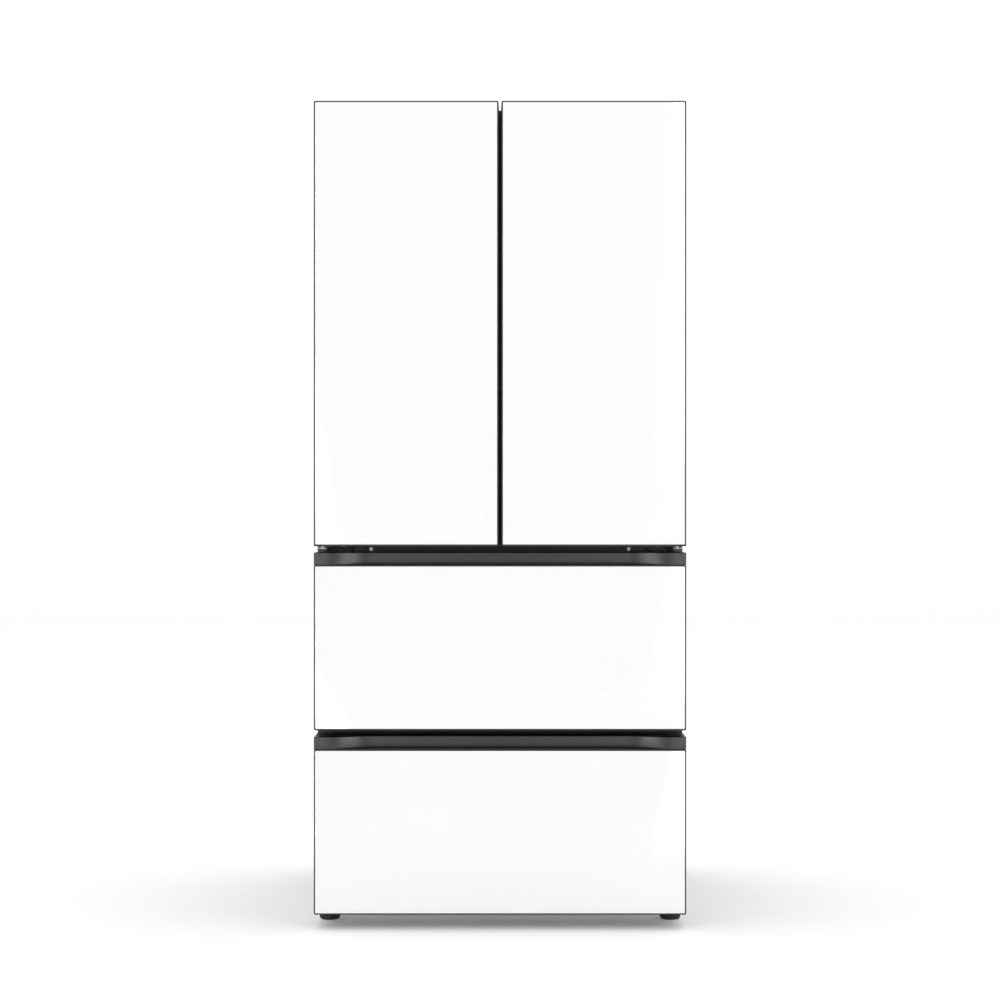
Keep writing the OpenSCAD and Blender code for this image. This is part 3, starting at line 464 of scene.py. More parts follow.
def tone_group() -> bpy.types.NodeTree:
    """Node group of slow tone changes and small soft smudges.

    Returns:
        A group with Vector and Scale in, and Tone and Smudge masks out, both from 0 to 1.
    """
    name = "tone_and_smudge"
    if name in bpy.data.node_groups:
        return bpy.data.node_groups[name]
    group = bpy.data.node_groups.new(name, "ShaderNodeTree")
    face = group.interface
    face.new_socket("Vector", in_out="INPUT", socket_type="NodeSocketVector")
    face.new_socket("Scale", in_out="INPUT", socket_type="NodeSocketFloat")
    face.new_socket("Tone", in_out="OUTPUT", socket_type="NodeSocketFloat")
    face.new_socket("Smudge", in_out="OUTPUT", socket_type="NodeSocketFloat")
    inp = group.nodes.new("NodeGroupInput")
    out = group.nodes.new("NodeGroupOutput")
    masks = (("Tone", 1.0, 3.0, 0.35, 0.65), ("Smudge", 4.3, 6.0, 0.48, 0.72))
    for label, factor, detail, low, high in masks:
        times = group.nodes.new("ShaderNodeMath")
        times.operation = "MULTIPLY"
        times.inputs[1].default_value = factor
        noise = group.nodes.new("ShaderNodeTexNoise")
        noise.inputs["Detail"].default_value = detail
        spread = group.nodes.new("ShaderNodeMapRange")
        spread.inputs["From Min"].default_value = low
        spread.inputs["From Max"].default_value = high
        link(group, inp.outputs["Scale"], times.inputs[0])
        link(group, inp.outputs["Vector"], noise.inputs["Vector"])
        link(group, times.outputs[0], noise.inputs["Scale"])
        link(group, noise.outputs["Fac"], spread.inputs["Value"])
        link(group, spread.outputs["Result"], out.inputs[label])
    return group


@dataclass(frozen=True)
class Finish:
    """A surface finish: two near colours, a roughness range and a relief pattern."""
    name: str
    base: tuple[float, float, float]
    second: tuple[float, float, float]
    rough: tuple[float, float] = (0.4, 0.5)
    metallic: float = 0.0
    texture: Texture = Texture.PEEL
    tone_scale: float = 6.0
    relief_scale: float = 900.0
    strength: float = 0.15
    distance_mm: float = 0.05
    stretch: tuple[float, float, float] = (1.0, 1.0, 1.0)
    specular: float = 0.5
    coat: float = 0.0
    coat_rough: float = 0.05
    transmission: float = 0.0
    ior: float = 1.5
    glow: float = 0.0

    def material(self) -> bpy.types.Material:
        """Build the node material, or hand back the one that already has this name.

        The frame brings a plain material for each of its slots, so a finish named like a slot is that
        plain material.

        Returns:
            The material; one built here has its patterns on Object coordinates.
        """
        if self.name in bpy.data.materials:
            return bpy.data.materials[self.name]
        mat = bpy.data.materials.new(self.name)
        mat.use_nodes = True
        tree = mat.node_tree
        shader = tree.nodes["Principled BSDF"]
        coord = tree.nodes.new("ShaderNodeTexCoord")
        mapping = tree.nodes.new("ShaderNodeMapping")
        mapping.inputs["Scale"].default_value = self.stretch
        tone = tree.nodes.new("ShaderNodeGroup")
        tone.node_tree = tone_group()
        tone.inputs["Scale"].default_value = self.tone_scale
        relief = tree.nodes.new("ShaderNodeGroup")
        relief.node_tree = relief_group(self.texture)
        relief.inputs["Scale"].default_value = self.relief_scale
        relief.inputs["Strength"].default_value = self.strength
        relief.inputs["Distance"].default_value = self.distance_mm * MM
        mix = tree.nodes.new("ShaderNodeMix")
        mix.data_type = "RGBA"
        mix.inputs["A"].default_value = (*self.base, 1.0)
        mix.inputs["B"].default_value = (*self.second, 1.0)
        spread = tree.nodes.new("ShaderNodeMapRange")
        spread.inputs["To Min"].default_value = self.rough[0]
        spread.inputs["To Max"].default_value = self.rough[1]
        link(tree, coord.outputs["Object"], mapping.inputs["Vector"])
        link(tree, coord.outputs["Object"], tone.inputs["Vector"])
        link(tree, mapping.outputs["Vector"], relief.inputs["Vector"])
        link(tree, tone.outputs["Tone"], mix.inputs["Factor"])
        link(tree, mix.outputs["Result"], shader.inputs["Base Color"])
        link(tree, tone.outputs["Smudge"], spread.inputs["Value"])
        link(tree, spread.outputs["Result"], shader.inputs["Roughness"])
        link(tree, relief.outputs["Normal"], shader.inputs["Normal"])
        shader.inputs["Metallic"].default_value = self.metallic
        shader.inputs["Specular IOR Level"].default_value = self.specular
        shader.inputs["Coat Weight"].default_value = self.coat
        shader.inputs["Coat Roughness"].default_value = self.coat_rough
        shader.inputs["Transmission Weight"].default_value = self.transmission
        shader.inputs["IOR"].default_value = self.ior
        if self.glow > 0:
            link(tree, mix.outputs["Result"], shader.inputs["Emission Color"])
            shader.inputs["Emission Strength"].default_value = self.glow
        return mat


FINISHES: dict[str, Finish] = {f.name: f for f in (
    Finish("front_glass", (0.872, 0.877, 0.872), (0.865, 0.87, 0.865), (0.035, 0.07), specular=0.5, coat=0.2,
           tone_scale=1.5, relief_scale=9.0, strength=0.02, distance_mm=0.3),
    Finish("dark_trim", (0.006, 0.0058, 0.0058), (0.009, 0.0085, 0.0085), (0.34, 0.46),
           texture=Texture.BRUSH, stretch=(0.02, 1.0, 0.02), relief_scale=1600.0, strength=0.1,
           specular=0.12),
    Finish("handle_metal", (0.018, 0.0166, 0.0164), (0.016, 0.0148, 0.0146), (0.07, 0.10), metallic=0.9,
           texture=Texture.BRUSH, stretch=(0.015, 0.015, 1.0), relief_scale=1900.0, strength=0.2,
           distance_mm=0.03, tone_scale=3.0),
    Finish("dark_body", (0.010, 0.0098, 0.0098), (0.014, 0.0135, 0.0135), (0.42, 0.55), relief_scale=700.0,
           strength=0.12, specular=0.14),
    Finish("painted_steel", (0.082, 0.080, 0.079), (0.070, 0.068, 0.067), (0.30, 0.42), relief_scale=420.0,
           strength=0.2, distance_mm=0.05, tone_scale=2.0, coat=0.15, coat_rough=0.2),
    Finish("zinc_steel", (0.46, 0.47, 0.48), (0.36, 0.37, 0.385), (0.35, 0.55), metallic=0.7,
           texture=Texture.PEBBLE, relief_scale=90.0, strength=0.08, distance_mm=0.05, tone_scale=26.0),
    Finish("foam", (0.78, 0.68, 0.36), (0.70, 0.59, 0.28), (0.8, 0.95), texture=Texture.PEBBLE,
           relief_scale=650.0, strength=0.5, distance_mm=0.3),
    Finish("liner_plastic", (0.84, 0.85, 0.85), (0.81, 0.82, 0.825), (0.22, 0.34), relief_scale=260.0,
           strength=0.1, distance_mm=0.05, tone_scale=2.5),
    Finish("black_plastic", (0.014, 0.014, 0.015), (0.020, 0.020, 0.021), (0.42, 0.56),
           texture=Texture.PEBBLE, relief_scale=1100.0, strength=0.3, distance_mm=0.08, specular=0.35),
    Finish("hinge_steel", (0.036, 0.036, 0.038), (0.05, 0.05, 0.052), (0.35, 0.5), metallic=0.5,
           relief_scale=900.0, strength=0.18, tone_scale=20.0),
    Finish("bright_steel", (0.60, 0.61, 0.62), (0.50, 0.51, 0.525), (0.2, 0.34), metallic=1.0,
           texture=Texture.BRUSH, stretch=(1.0, 0.02, 1.0), relief_scale=1500.0, strength=0.16),
    Finish("shelf_glass", (0.93, 0.985, 0.97), (0.91, 0.975, 0.96), (0.01, 0.03), transmission=1.0, ior=1.5,
           relief_scale=6.0, strength=0.01),
    Finish("lamp_diffuser", (0.95, 0.95, 0.91), (0.92, 0.92, 0.88), (0.4, 0.5), glow=0.9,
           texture=Texture.PEBBLE, relief_scale=700.0, strength=0.15),
    Finish("clear_plastic", (0.92, 0.955, 0.965), (0.89, 0.935, 0.95), (0.05, 0.13), transmission=0.9,
           ior=1.45, relief_scale=120.0, strength=0.03),
    Finish("fin_aluminium", (0.72, 0.73, 0.74), (0.60, 0.61, 0.625), (0.26, 0.4), metallic=1.0,
           texture=Texture.BRUSH, stretch=(1.0, 1.0, 0.03), relief_scale=1300.0, strength=0.12),
    Finish("black_paint", (0.010, 0.010, 0.011), (0.016, 0.016, 0.017), (0.18, 0.34), coat=0.4,
           relief_scale=500.0, strength=0.15),
    Finish("foot_plastic", (0.008, 0.008, 0.0085), (0.013, 0.013, 0.0135), (0.38, 0.52),
           texture=Texture.PEBBLE, relief_scale=1300.0, strength=0.25, distance_mm=0.06, specular=0.3),
    Finish("seal_rubber", (0.030, 0.0295, 0.0295), (0.042, 0.041, 0.041), (0.5, 0.64), relief_scale=1200.0,
           strength=0.12, specular=0.3),
    Finish("copper_tube", (0.62, 0.27, 0.15), (0.42, 0.17, 0.09), (0.24, 0.42), metallic=1.0,
           relief_scale=700.0, strength=0.12, tone_scale=30.0),
)}


# ---------------------------------------------------------------- pieces

def place(name: str, shells: Sequence[Shell], node: str, finish: str | None = None, stands: bool = True,
          smooth_deg: float = 38.0) -> bpy.types.Object:
    """Make one piece from closed shells and attach it to a node's body.

    Args:
        name: the piece's name.
        shells: its closed surfaces.
        node: the CAD node whose body and slot it takes.
        finish: a finish other than the node's slot gives.
        stands: True where the piece stands for the node.
        smooth_deg: edges sharper than this stay crisp.

    Returns:
        The new object.
    """
    offsets = np.cumsum([0] + [len(s.points) for s in shells[:-1]])
    faces = [[v + int(o) for v in f] for s, o in zip(shells, offsets) for f in s.faces]
    mesh = bpy.data.meshes.new(name)
    mesh.from_pydata(np.concatenate([s.points for s in shells]).tolist(), [], faces)
    mesh.polygons.foreach_set("use_smooth", np.ones(len(faces), bool))
    mesh.set_sharp_from_angle(angle=math.radians(smooth_deg))
    mesh.update()
    obj = bpy.data.objects.new(name, mesh)
    bpy.context.scene.collection.objects.link(obj)
    finish_name = finish or SLOT_OF[node]
    mesh.materials.append(FINISHES[finish_name].material())
    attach(obj, BODY_OF[node])
    if stands:
        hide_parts(node)
    LOG.info("%s on %s: %d faces", name, BODY_OF[node], len(faces))
    return obj


def corners(node: str) -> tuple[Array, Array]:
    """Low and high corners of a CAD node at rest."""
    lo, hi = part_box(node)
    return np.array(lo), np.array(hi)


def points_of(node: str) -> Array:
    """Points of a CAD node's mesh, shape (n, 3)."""
    mesh = frame["nodes"][node].data
    co = np.empty(len(mesh.vertices) * 3)
    mesh.vertices.foreach_get("co", co)
    return co.reshape(-1, 3)


def corners_within(node: str, axis: Axis, low: float, high: float) -> tuple[Array, Array]:
    """Corners of the points of a node that lie between two planes.

    Args:
        node: the CAD node.
        axis: the direction across the planes.
        low, high: where the planes lie.

    Returns:
        Low and high corners.
    """
    co = points_of(node)
    co = co[(co[:, axis.value] > low) & (co[:, axis.value] < high)]
    return co.min(axis=0), co.max(axis=0)


def pivot_of(body: str) -> Array:
    """A point on the axis of the joint that carries a body."""
    return np.array(next(j for j in RECORD["behaviour"]["joints"] if j["child"] == body)["pos_m"])


def screw_heads(places: Array, out: Sequence[float], radius: float = 4.5 * MM) -> list[Shell]:
    """Domed screw heads with a driver recess.

    The head's profile runs from its seat over a low dome into the recess; rings lie across the
    direction it faces.

    Args:
        places: middles of the seats, shape (n, 3).
        out: the direction the heads face, a unit vector along an axis.
        radius: radius of a head.

    Returns:
        One closed shell for each place.
    """
    facing = np.asarray(out, float)
    axis = Axis(int(np.abs(facing).argmax()))
    sign = float(facing.sum())
    radii = np.array([0.9, 1.0, 0.96, 0.78, 0.5, 0.44, 0.36]) * radius
    levels = np.array([0.0, 0.12, 0.28, 0.42, 0.48, 0.26, 0.2]) * radius * sign
    return [lathe(radii, levels, p, axis, 20) for p in places]


@dataclass
class GlassFront:
    """One front: a pane of white glass lying in a dark tray with a thin rim."""
    name: str
    pane_edge: float = 0.7 * MM
    tray_edge: float = 1.0 * MM
    corner: float = 3.0 * MM

    def build(self) -> None:
        """Make the pane and its tray."""
        self.pane()
        self.tray()

    def pane(self) -> None:
        """Glass with finely ground edges all round."""
        node = f"{self.name}_glass"
        lo, hi = corners(node)
        place(f"{self.name}_pane", [slab(lo, hi, self.corner - 1 * MM, self.pane_edge, Axis.Y)], node)

    def tray(self) -> None:
        """Tray: rings run from its back over the outer edge and the rim, then down beside the pane."""
        node = f"{self.name}_trim"
        lo, hi = corners(node)
        glass_lo, glass_hi = corners(f"{self.name}_glass")
        fit = 0.2 * MM
        inset, rise = quarter(self.tray_edge, 4)
        out_lo, out_hi = lo[[0, 2]], hi[[0, 2]]
        in_lo, in_hi = glass_lo[[0, 2]] - fit, glass_hi[[0, 2]] + fit
        edge = np.concatenate([[0.0], inset[::-1]])
        level = np.concatenate([[hi[1]], (lo[1] + rise)[::-1]])
        lows = np.concatenate([out_lo + edge[:, None], [in_lo - 0.4 * MM, in_lo, in_lo]])
        highs = np.concatenate([out_hi - edge[:, None], [in_hi + 0.4 * MM, in_hi, in_hi]])
        levels = np.concatenate([level, [lo[1], lo[1] + 0.4 * MM, glass_hi[1]]])
        radius = np.concatenate([np.maximum(self.corner - edge, 1 * MM), [2.2 * MM, 2 * MM, 2 * MM]])
        flat = rounded_rings(lows, highs, radius, 6)
        rings = placed(flat, np.broadcast_to(levels[:, None], flat.shape[:2]), Axis.Y)
        place(f"{self.name}_tray", [loft(rings)], node)


@dataclass
class HandleStrip:
    """Anodised strip along the top of a drawer: flush ends, smooth bends and a deep middle."""
    name: str
    flush_end: float = 28 * MM
    bend: float = 100 * MM
    recess: float = 24 * MM
    edge: float = 1.6 * MM
    steps: int = 180

    def front_line(self, x: Array) -> Array:
        """Depth of the strip behind the front face.

        The depth is recess times the smooth step (1 - cos(pi t)) / 2, with t the way through the bend.

        Args:
            x: places along the strip.

        Returns:
            The depth at each place.
        """
        _, hi = corners(f"{self.name}_handle")
        t = np.clip((hi[0] - self.flush_end - np.abs(x)) / self.bend, 0.0, 1.0)
        return self.recess * (1 - np.cos(math.pi * t)) / 2

    def build(self) -> None:
        """Carry the strip's section along its length, with the front edge following the front line."""
        node = f"{self.name}_handle"
        lo, hi = corners(node)
        x = np.linspace(lo[0], hi[0], self.steps)
        inset, rise = quarter(self.edge, 4)
        section_y = np.concatenate([inset, inset[::-1]])
        section_z = np.concatenate([lo[2] + rise, hi[2] - rise[::-1]])
        n = len(section_y)
        y = lo[1] + self.front_line(x)[:, None] + section_y[None, :]
        z = np.broadcast_to(section_z, (self.steps, n))
        back_y = np.full((self.steps, 2), hi[1])
        back_z = np.broadcast_to(np.array([hi[2], lo[2]]), (self.steps, 2))
        ys, zs = np.concatenate([y, back_y], axis=1), np.concatenate([z, back_z], axis=1)
        rings = np.stack([np.broadcast_to(x[:, None], ys.shape), ys, zs], axis=-1)
        place(f"{self.name}_strip", [loft(rings)], node)


@dataclass
class SoftSeal:
    """Magnetic seal: a bellows section with a pointed foot, carried around its opening."""
    name: str
    width: float = 18 * MM
    corner: float = 6 * MM

    def build(self) -> None:
        """Section in insets from the outer edge and distances from the front panel, closed into a hoop."""
        node = f"{self.name}_seal"
        lo, hi = corners(node)
        depth = hi[1] - lo[1]
        insets = np.array([0.30, 0.12, 0.02, 0.0, 0.10, 0.16, 0.04, 0.02, 0.14,
                           0.50, 0.86, 0.98, 0.96, 0.82, 0.88, 1.0, 0.98, 0.88, 0.70]) * self.width
        levels = np.array([0.0, 0.02, 0.10, 0.28, 0.42, 0.52, 0.66, 0.90, 1.0,
                           1.0, 1.0, 0.90, 0.66, 0.52, 0.42, 0.28, 0.10, 0.02, 0.0]) * depth + lo[1]
        bellows = stack(lo[[0, 2]], hi[[0, 2]], insets, levels, self.corner, Axis.Y, wrap=True)
        place(f"{self.name}_gasket", [bellows], node)


@dataclass
class DoorInside:
    """Inner panel of a door with its raised rim, and its clear bins."""
    name: str
    rim_edge: float = 5 * MM
    rim_w: float = 18 * MM
    skin: float = 2 * MM
    bin_wall: float = 3 * MM

    def build(self) -> None:
        """Make the liner and the bins."""
        self.liner()
        self.bins()

    def liner(self) -> None:
        """Rings climb the outside of the rim, roll over its crest and fall to the panel inside."""
        node = f"{self.name}_liner"
        lo, hi = corners(node)
        crest = np.linspace(0.0, math.pi, 9)
        half = self.rim_w / 2
        insets = np.concatenate([[0.0], half - half * np.cos(crest),
                                 [self.rim_w + 1 * MM, self.rim_w + 5 * MM]])
        top = hi[1] - self.rim_edge
        levels = np.concatenate([[lo[1]], top + self.rim_edge * np.sin(crest),
                                 [lo[1] + self.skin + 5 * MM, lo[1] + self.skin]])
        panel = stack(lo[[0, 2]], hi[[0, 2]], insets, levels, 10 * MM, Axis.Y)
        place(f"{self.name}_inner_panel", [panel], node)

    def bins(self) -> None:
        """Three open bins, each with a rolled rim and a guard rail along its front."""
        node = f"{self.name}_bins"
        lo, hi = corners(node)
        boxes = [o["box_m"] for o in RECORD["physics"]["openings"]
                 if o["name"].startswith(self.name) and o["name"].endswith("_bin")]
        shells, rails, saddles, lugs = [], [], [], []
        for low, high in boxes:
            floor = low[2] - 5 * MM
            top = floor + 110 * MM
            shells.append(tub([lo[0], lo[1], floor], [hi[0], hi[1], top], self.bin_wall, 9 * MM, lip=1 * MM))
            rails.append(slab([lo[0] + 8 * MM, hi[1] - 7 * MM, top - 26 * MM],
                              [hi[0] - 8 * MM, hi[1] - 3.6 * MM, top - 12 * MM], 1.5 * MM, 1 * MM, Axis.Y))
            saddles.append(slab([low[0] + 12 * MM, lo[1] - 1 * MM, floor - 16 * MM],
                                [high[0] - 12 * MM, lo[1] + 34 * MM, floor - 0.6 * MM],
                                7 * MM, 4 * MM, Axis.Y))
            for x in (lo[0] - 0.9 * MM, hi[0] - 2 * MM):
                lugs.append(slab([x, lo[1] + 4 * MM, top - 52 * MM],
                                 [x + 2.8 * MM, lo[1] + 24 * MM, top - 16 * MM],
                                 1.2 * MM, 0.8 * MM, Axis.X))
        place(f"{self.name}_bottle_bins", shells, node)
        place(f"{self.name}_bin_bands", rails, node, "bright_steel", stands=False)
        place(f"{self.name}_bin_saddles", saddles + lugs, f"{self.name}_liner", stands=False)


@dataclass
class UpperChamber:
    """Liners, shelves, crispers and lamps of the two upper chambers."""
    skin: float = 2 * MM
    corner: float = 12 * MM
    mouth: float = 16 * MM
    ledge_w: float = 7 * MM
    ledge_h: float = 8 * MM
    shelf_nose: float = 9 * MM

    def build(self) -> None:
        """Make both chambers' pieces."""
        self.liners()
        self.shelves()
        self.crispers()
        self.lamps()

    def shelf_levels(self) -> list[float]:
        """Undersides of the glass shelves, from the heights at which the shelf node has points."""
        heights = np.unique(np.round(points_of("glass_shelves")[:, 2], 4))
        return [float(h) for h in heights[::2]]

    def liners(self) -> None:
        """Formed boxes with moulded shelf ledges down both walls, and spare ledges between them."""
        lo, hi = corners_within("fridge_liners", Axis.X, -9.0, 0.0)
        shells = [formed_box(lo, hi, self.skin, self.corner, self.mouth)]
        shelf_lo, shelf_hi = corners("glass_shelves")
        levels = self.shelf_levels()
        half_step = (levels[1] - levels[0]) / 2
        y0, y1 = shelf_lo[1] + 6 * MM, shelf_hi[1]
        left, right = lo[0] + self.skin, hi[0] - self.skin
        for z, width, height in [(z, self.ledge_w, self.ledge_h) for z in levels] + [
                (z + half_step, self.ledge_w * 0.7, self.ledge_h * 0.75) for z in levels]:
            for x0, x1 in ((left - 1 * MM, left + width), (right - width, right + 1 * MM)):
                shells.append(slab([x0, y0, z - height], [x1, y1, z - 0.1 * MM], 2 * MM, 2.5 * MM, Axis.X))
        place("chamber_liners", both(shells), "fridge_liners")

    def shelves(self) -> None:
        """Glass plates with ground edges, each behind a bright nose trim."""
        lo, hi = corners("glass_shelves")
        left_hi = corners_within("glass_shelves", Axis.X, -9.0, 0.0)[1][0]
        thick = 5 * MM
        glass, trim = [], []
        for z in self.shelf_levels():
            for side in SIDES:
                glass.append(mirrored(slab([lo[0], lo[1] + 4 * MM, z], [left_hi, hi[1], z + thick], 4 * MM,
                                           0.8 * MM, Axis.Z), side))
                trim.append(mirrored(slab([lo[0] + 1 * MM, lo[1], z - 3 * MM],
                                          [left_hi - 1 * MM, lo[1] + self.shelf_nose, z - 0.2 * MM],
                                          2 * MM, 1 * MM, Axis.Z), side))
                trim.append(mirrored(slab([lo[0] + 1 * MM, lo[1], z - 1 * MM],
                                          [left_hi - 1 * MM, lo[1] + 3.4 * MM, z + thick], 1 * MM,
                                          1 * MM, Axis.Z), side))
        place("shelf_plates", glass, "glass_shelves")
        place("shelf_noses", trim, "glass_shelves", "bright_steel", stands=False)

    def crispers(self) -> None:
        """Drafted tubs with a rolled rim and a grip bar."""
        for name in ("left_crisper", "right_crisper"):
            lo, hi = corners(name)
            body = tub([lo[0], lo[1] + 6 * MM, lo[2]], [hi[0], hi[1], hi[2]], 3 * MM, 10 * MM, draft=3 * MM)
            grip = slab([lo[0] + 40 * MM, lo[1], hi[2] - 28 * MM],
                        [hi[0] - 40 * MM, lo[1] + 9 * MM, hi[2] - 18 * MM], 3 * MM, 2 * MM, Axis.X)
            place(f"{name}_tub", [body], name)
            place(f"{name}_grip", [grip], name, "bright_steel", stands=False)

    def lamps(self) -> None:
        """Frosted bars under the ceiling of each chamber."""
        lo, hi = corners_within("light_bars", Axis.X, -9.0, 0.0)
        place("lamp_bars", both([slab(lo, hi, 5 * MM, 2 * MM, Axis.Z)]), "light_bars")


@dataclass
class DrawerInside:
    """Deep bin with its divider, and the middle slides of one drawer."""
    name: str
    wall: float = 3 * MM
    flange: float = 7 * MM
    ribs: int = 9
    ball_r: float = 2.4 * MM
    ball_pitch: float = 14 * MM

    def build(self) -> None:
        """Make the bin with its divider, and the slides."""
        self.bin()
        self.divider()
        self.slides()

    def bin(self) -> None:
        """Tub with hanging flanges along its sides and upright ribs under them."""
        node = f"{self.name}_bin"
        lo, hi = corners(node)
        rail_top = corners(f"{self.name}_rails")[1][2]
        low = [lo[0] + self.flange, lo[1], lo[2]]
        high = [hi[0] - self.flange, hi[1], hi[2]]
        shells = [tub(low, high, self.wall, 14 * MM)]
        for side in SIDES:
            shells.append(mirrored(slab([lo[0], lo[1] + 26 * MM, rail_top + 0.2 * MM],
                                        [low[0] + 1 * MM, hi[1] - 20 * MM, rail_top + 4 * MM],
                                        1.5 * MM, 1 * MM, Axis.Z), side))
        for y in np.linspace(lo[1] + 50 * MM, hi[1] - 50 * MM, self.ribs):
            for x in (low[0] + self.wall - 0.5 * MM, high[0] - self.wall - 2.5 * MM):
                shells.append(slab([x, y - 2 * MM, lo[2] + 12 * MM],
                                   [x + 3 * MM, y + 2 * MM, rail_top - 14 * MM],
                                   1.2 * MM, 0.8 * MM, Axis.Z))
        place(f"{self.name}_basket", shells, node)

    def divider(self) -> None:
        """Cross wall that splits the bin, with a rounded cap."""
        node = f"{self.name}_bin"
        lo, hi = corners(node)
        y = (lo[1] + hi[1]) / 2
        side_gap = self.flange + self.wall + 3 * MM
        x0, x1 = lo[0] + side_gap, hi[0] - side_gap
        wall = slab([x0, y - 1.5 * MM, lo[2] + self.wall], [x1, y + 1.5 * MM, hi[2] - 46 * MM],
                    1.4 * MM, 1 * MM, Axis.X)
        cap = slab([x0, y - 4 * MM, hi[2] - 50 * MM], [x1, y + 4 * MM, hi[2] - 42 * MM],
                   3.9 * MM, 1 * MM, Axis.X)
        place(f"{self.name}_divider", [wall, cap], node, "liner_plastic", stands=False)

    def slides(self) -> None:
        """Middle members with grooved edges, and the balls that run in the grooves.

        The section is a bar whose top and bottom edges dip in the middle; balls stand in each dip.
        """
        node = f"{self.name.split('_')[0]}_middle_rails"
        lo, hi = corners_within(node, Axis.X, -9.0, 0.0)
        dip, mid = 3 * MM, (lo[0] + hi[0]) / 2
        u = np.linspace(0.0, 1.0, 9)
        bump = dip * np.sin(math.pi * u) ** 2
        top = np.stack([lo[0] + (hi[0] - lo[0]) * u, hi[2] - bump], axis=-1)
        low = np.stack([hi[0] - (hi[0] - lo[0]) * u, lo[2] + bump], axis=-1)
        section = np.concatenate([top, low])[None, :, :]
        ends = np.array([lo[1], hi[1]])
        flat = np.broadcast_to(section, (2,) + section.shape[1:])
        bar = loft(placed(flat, np.broadcast_to(ends[:, None], flat.shape[:2]), Axis.Y))
        a = np.linspace(0.12, math.pi - 0.12, 5)
        balls = []
        for y in np.arange(lo[1] + 20 * MM, hi[1] - 20 * MM, self.ball_pitch):
            for z in (hi[2] - dip + self.ball_r * 0.6, lo[2] + dip - self.ball_r * 0.6):
                balls.append(lathe(self.ball_r * np.sin(a), -self.ball_r * np.cos(a), [mid, y, z],
                                   Axis.Z, 8))
        place(f"{node}_members", both([bar]), node)
        place(f"{node}_balls", both(balls), node, stands=False)


@dataclass
class DrawerLiners:
    """Formed liners of the two drawer chambers."""
    skin: float = 2 * MM
    corner: float = 12 * MM
    mouth: float = 16 * MM

    def build(self) -> None:
        """Make both boxes; each one's place comes from the points below or above the gap between them."""
        split = corners("upper_drawer_seal")[0][2]
        boxes = [corners_within("drawer_liners", Axis.Z, *span) for span in ((0.0, split), (split, 9.0))]
        shells = [formed_box(lo, hi, self.skin, self.corner, self.mouth) for lo, hi in boxes]
        place("drawer_chamber_liners", shells, "drawer_liners")


@dataclass
class MiddleHinges:
    """Dark brackets between doors and drawers, with a bright pin and washer at each end."""
    pin_r: float = 4 * MM
    washer_r: float = 12 * MM
    washer_t: float = 2 * MM
    plate_t: float = 5 * MM
    arm_w: float = 26 * MM
    arm_l: float = 70 * MM
    flange_t: float = 3 * MM
    flange_h: float = 32 * MM
    length: float = 125 * MM
    bush_r: float = 6 * MM

    def build(self) -> None:
        """Make the brackets with their stiffening bosses, then the pins with their washers and bushes."""
        node = "middle_hinges"
        lo, hi = corners(node)
        seat_y = hi[1]
        pivot = pivot_of("left_door")
        flange_z = lo[2]
        plate_z = flange_z + self.flange_h / 2 - self.plate_t / 2
        top = plate_z + self.plate_t
        outer = corners("front_frame")[0][0] + 10 * MM
        half = self.arm_w / 2
        plate = slab([outer, seat_y - 26 * MM, plate_z], [outer + self.arm_l, seat_y - 0.5 * MM, top],
                     6 * MM, 1.1 * MM, Axis.Z)
        arm = slab([pivot[0] - half, pivot[1] - half, plate_z], [pivot[0] + half, seat_y - 10 * MM, top],
                   half, 1.1 * MM, Axis.Z)
        flange = slab([outer, seat_y - self.flange_t, flange_z],
                      [outer + self.length, seat_y, flange_z + self.flange_h], 4 * MM, 0.8 * MM, Axis.Y)
        boss = slab([outer + self.arm_l + 7 * MM, seat_y - 7 * MM, plate_z - 2 * MM],
                    [outer + self.arm_l + 36 * MM, seat_y - self.flange_t, top + 2 * MM],
                    4 * MM, 1.6 * MM, Axis.Y)
        gusset = slab([outer + self.arm_l - 5 * MM, seat_y - 20 * MM, plate_z - 3 * MM],
                      [outer + self.arm_l + 1 * MM, seat_y - self.flange_t, top + 3 * MM],
                      2 * MM, 1 * MM, Axis.X)
        brackets = both([plate, arm, flange, boss, gusset])
        edge = 0.4 * MM
        radii = [self.washer_r - edge, self.washer_r, self.washer_r, self.washer_r - edge,
                 self.bush_r, self.bush_r, self.pin_r, self.pin_r, self.pin_r - 1 * MM]
        bush_top = self.washer_t + 1.2 * MM
        levels = [0.0, edge, self.washer_t - edge, self.washer_t, self.washer_t, bush_top, bush_top,
                  hi[2] - top - 1 * MM, hi[2] - top]
        pin = lathe(radii, levels, [pivot[0], pivot[1], top], Axis.Z)
        nut = lathe([8 * MM, 8.6 * MM, 8.6 * MM, 8 * MM], [-2.2 * MM, -1.8 * MM, 0.2 * MM, 0.5 * MM],
                    [pivot[0], pivot[1], plate_z - 0.5 * MM], Axis.Z, 6)
        place("middle_hinge_brackets", brackets + both([nut]), node)
        place("middle_hinge_pins", both([pin]), node, "bright_steel", stands=False)


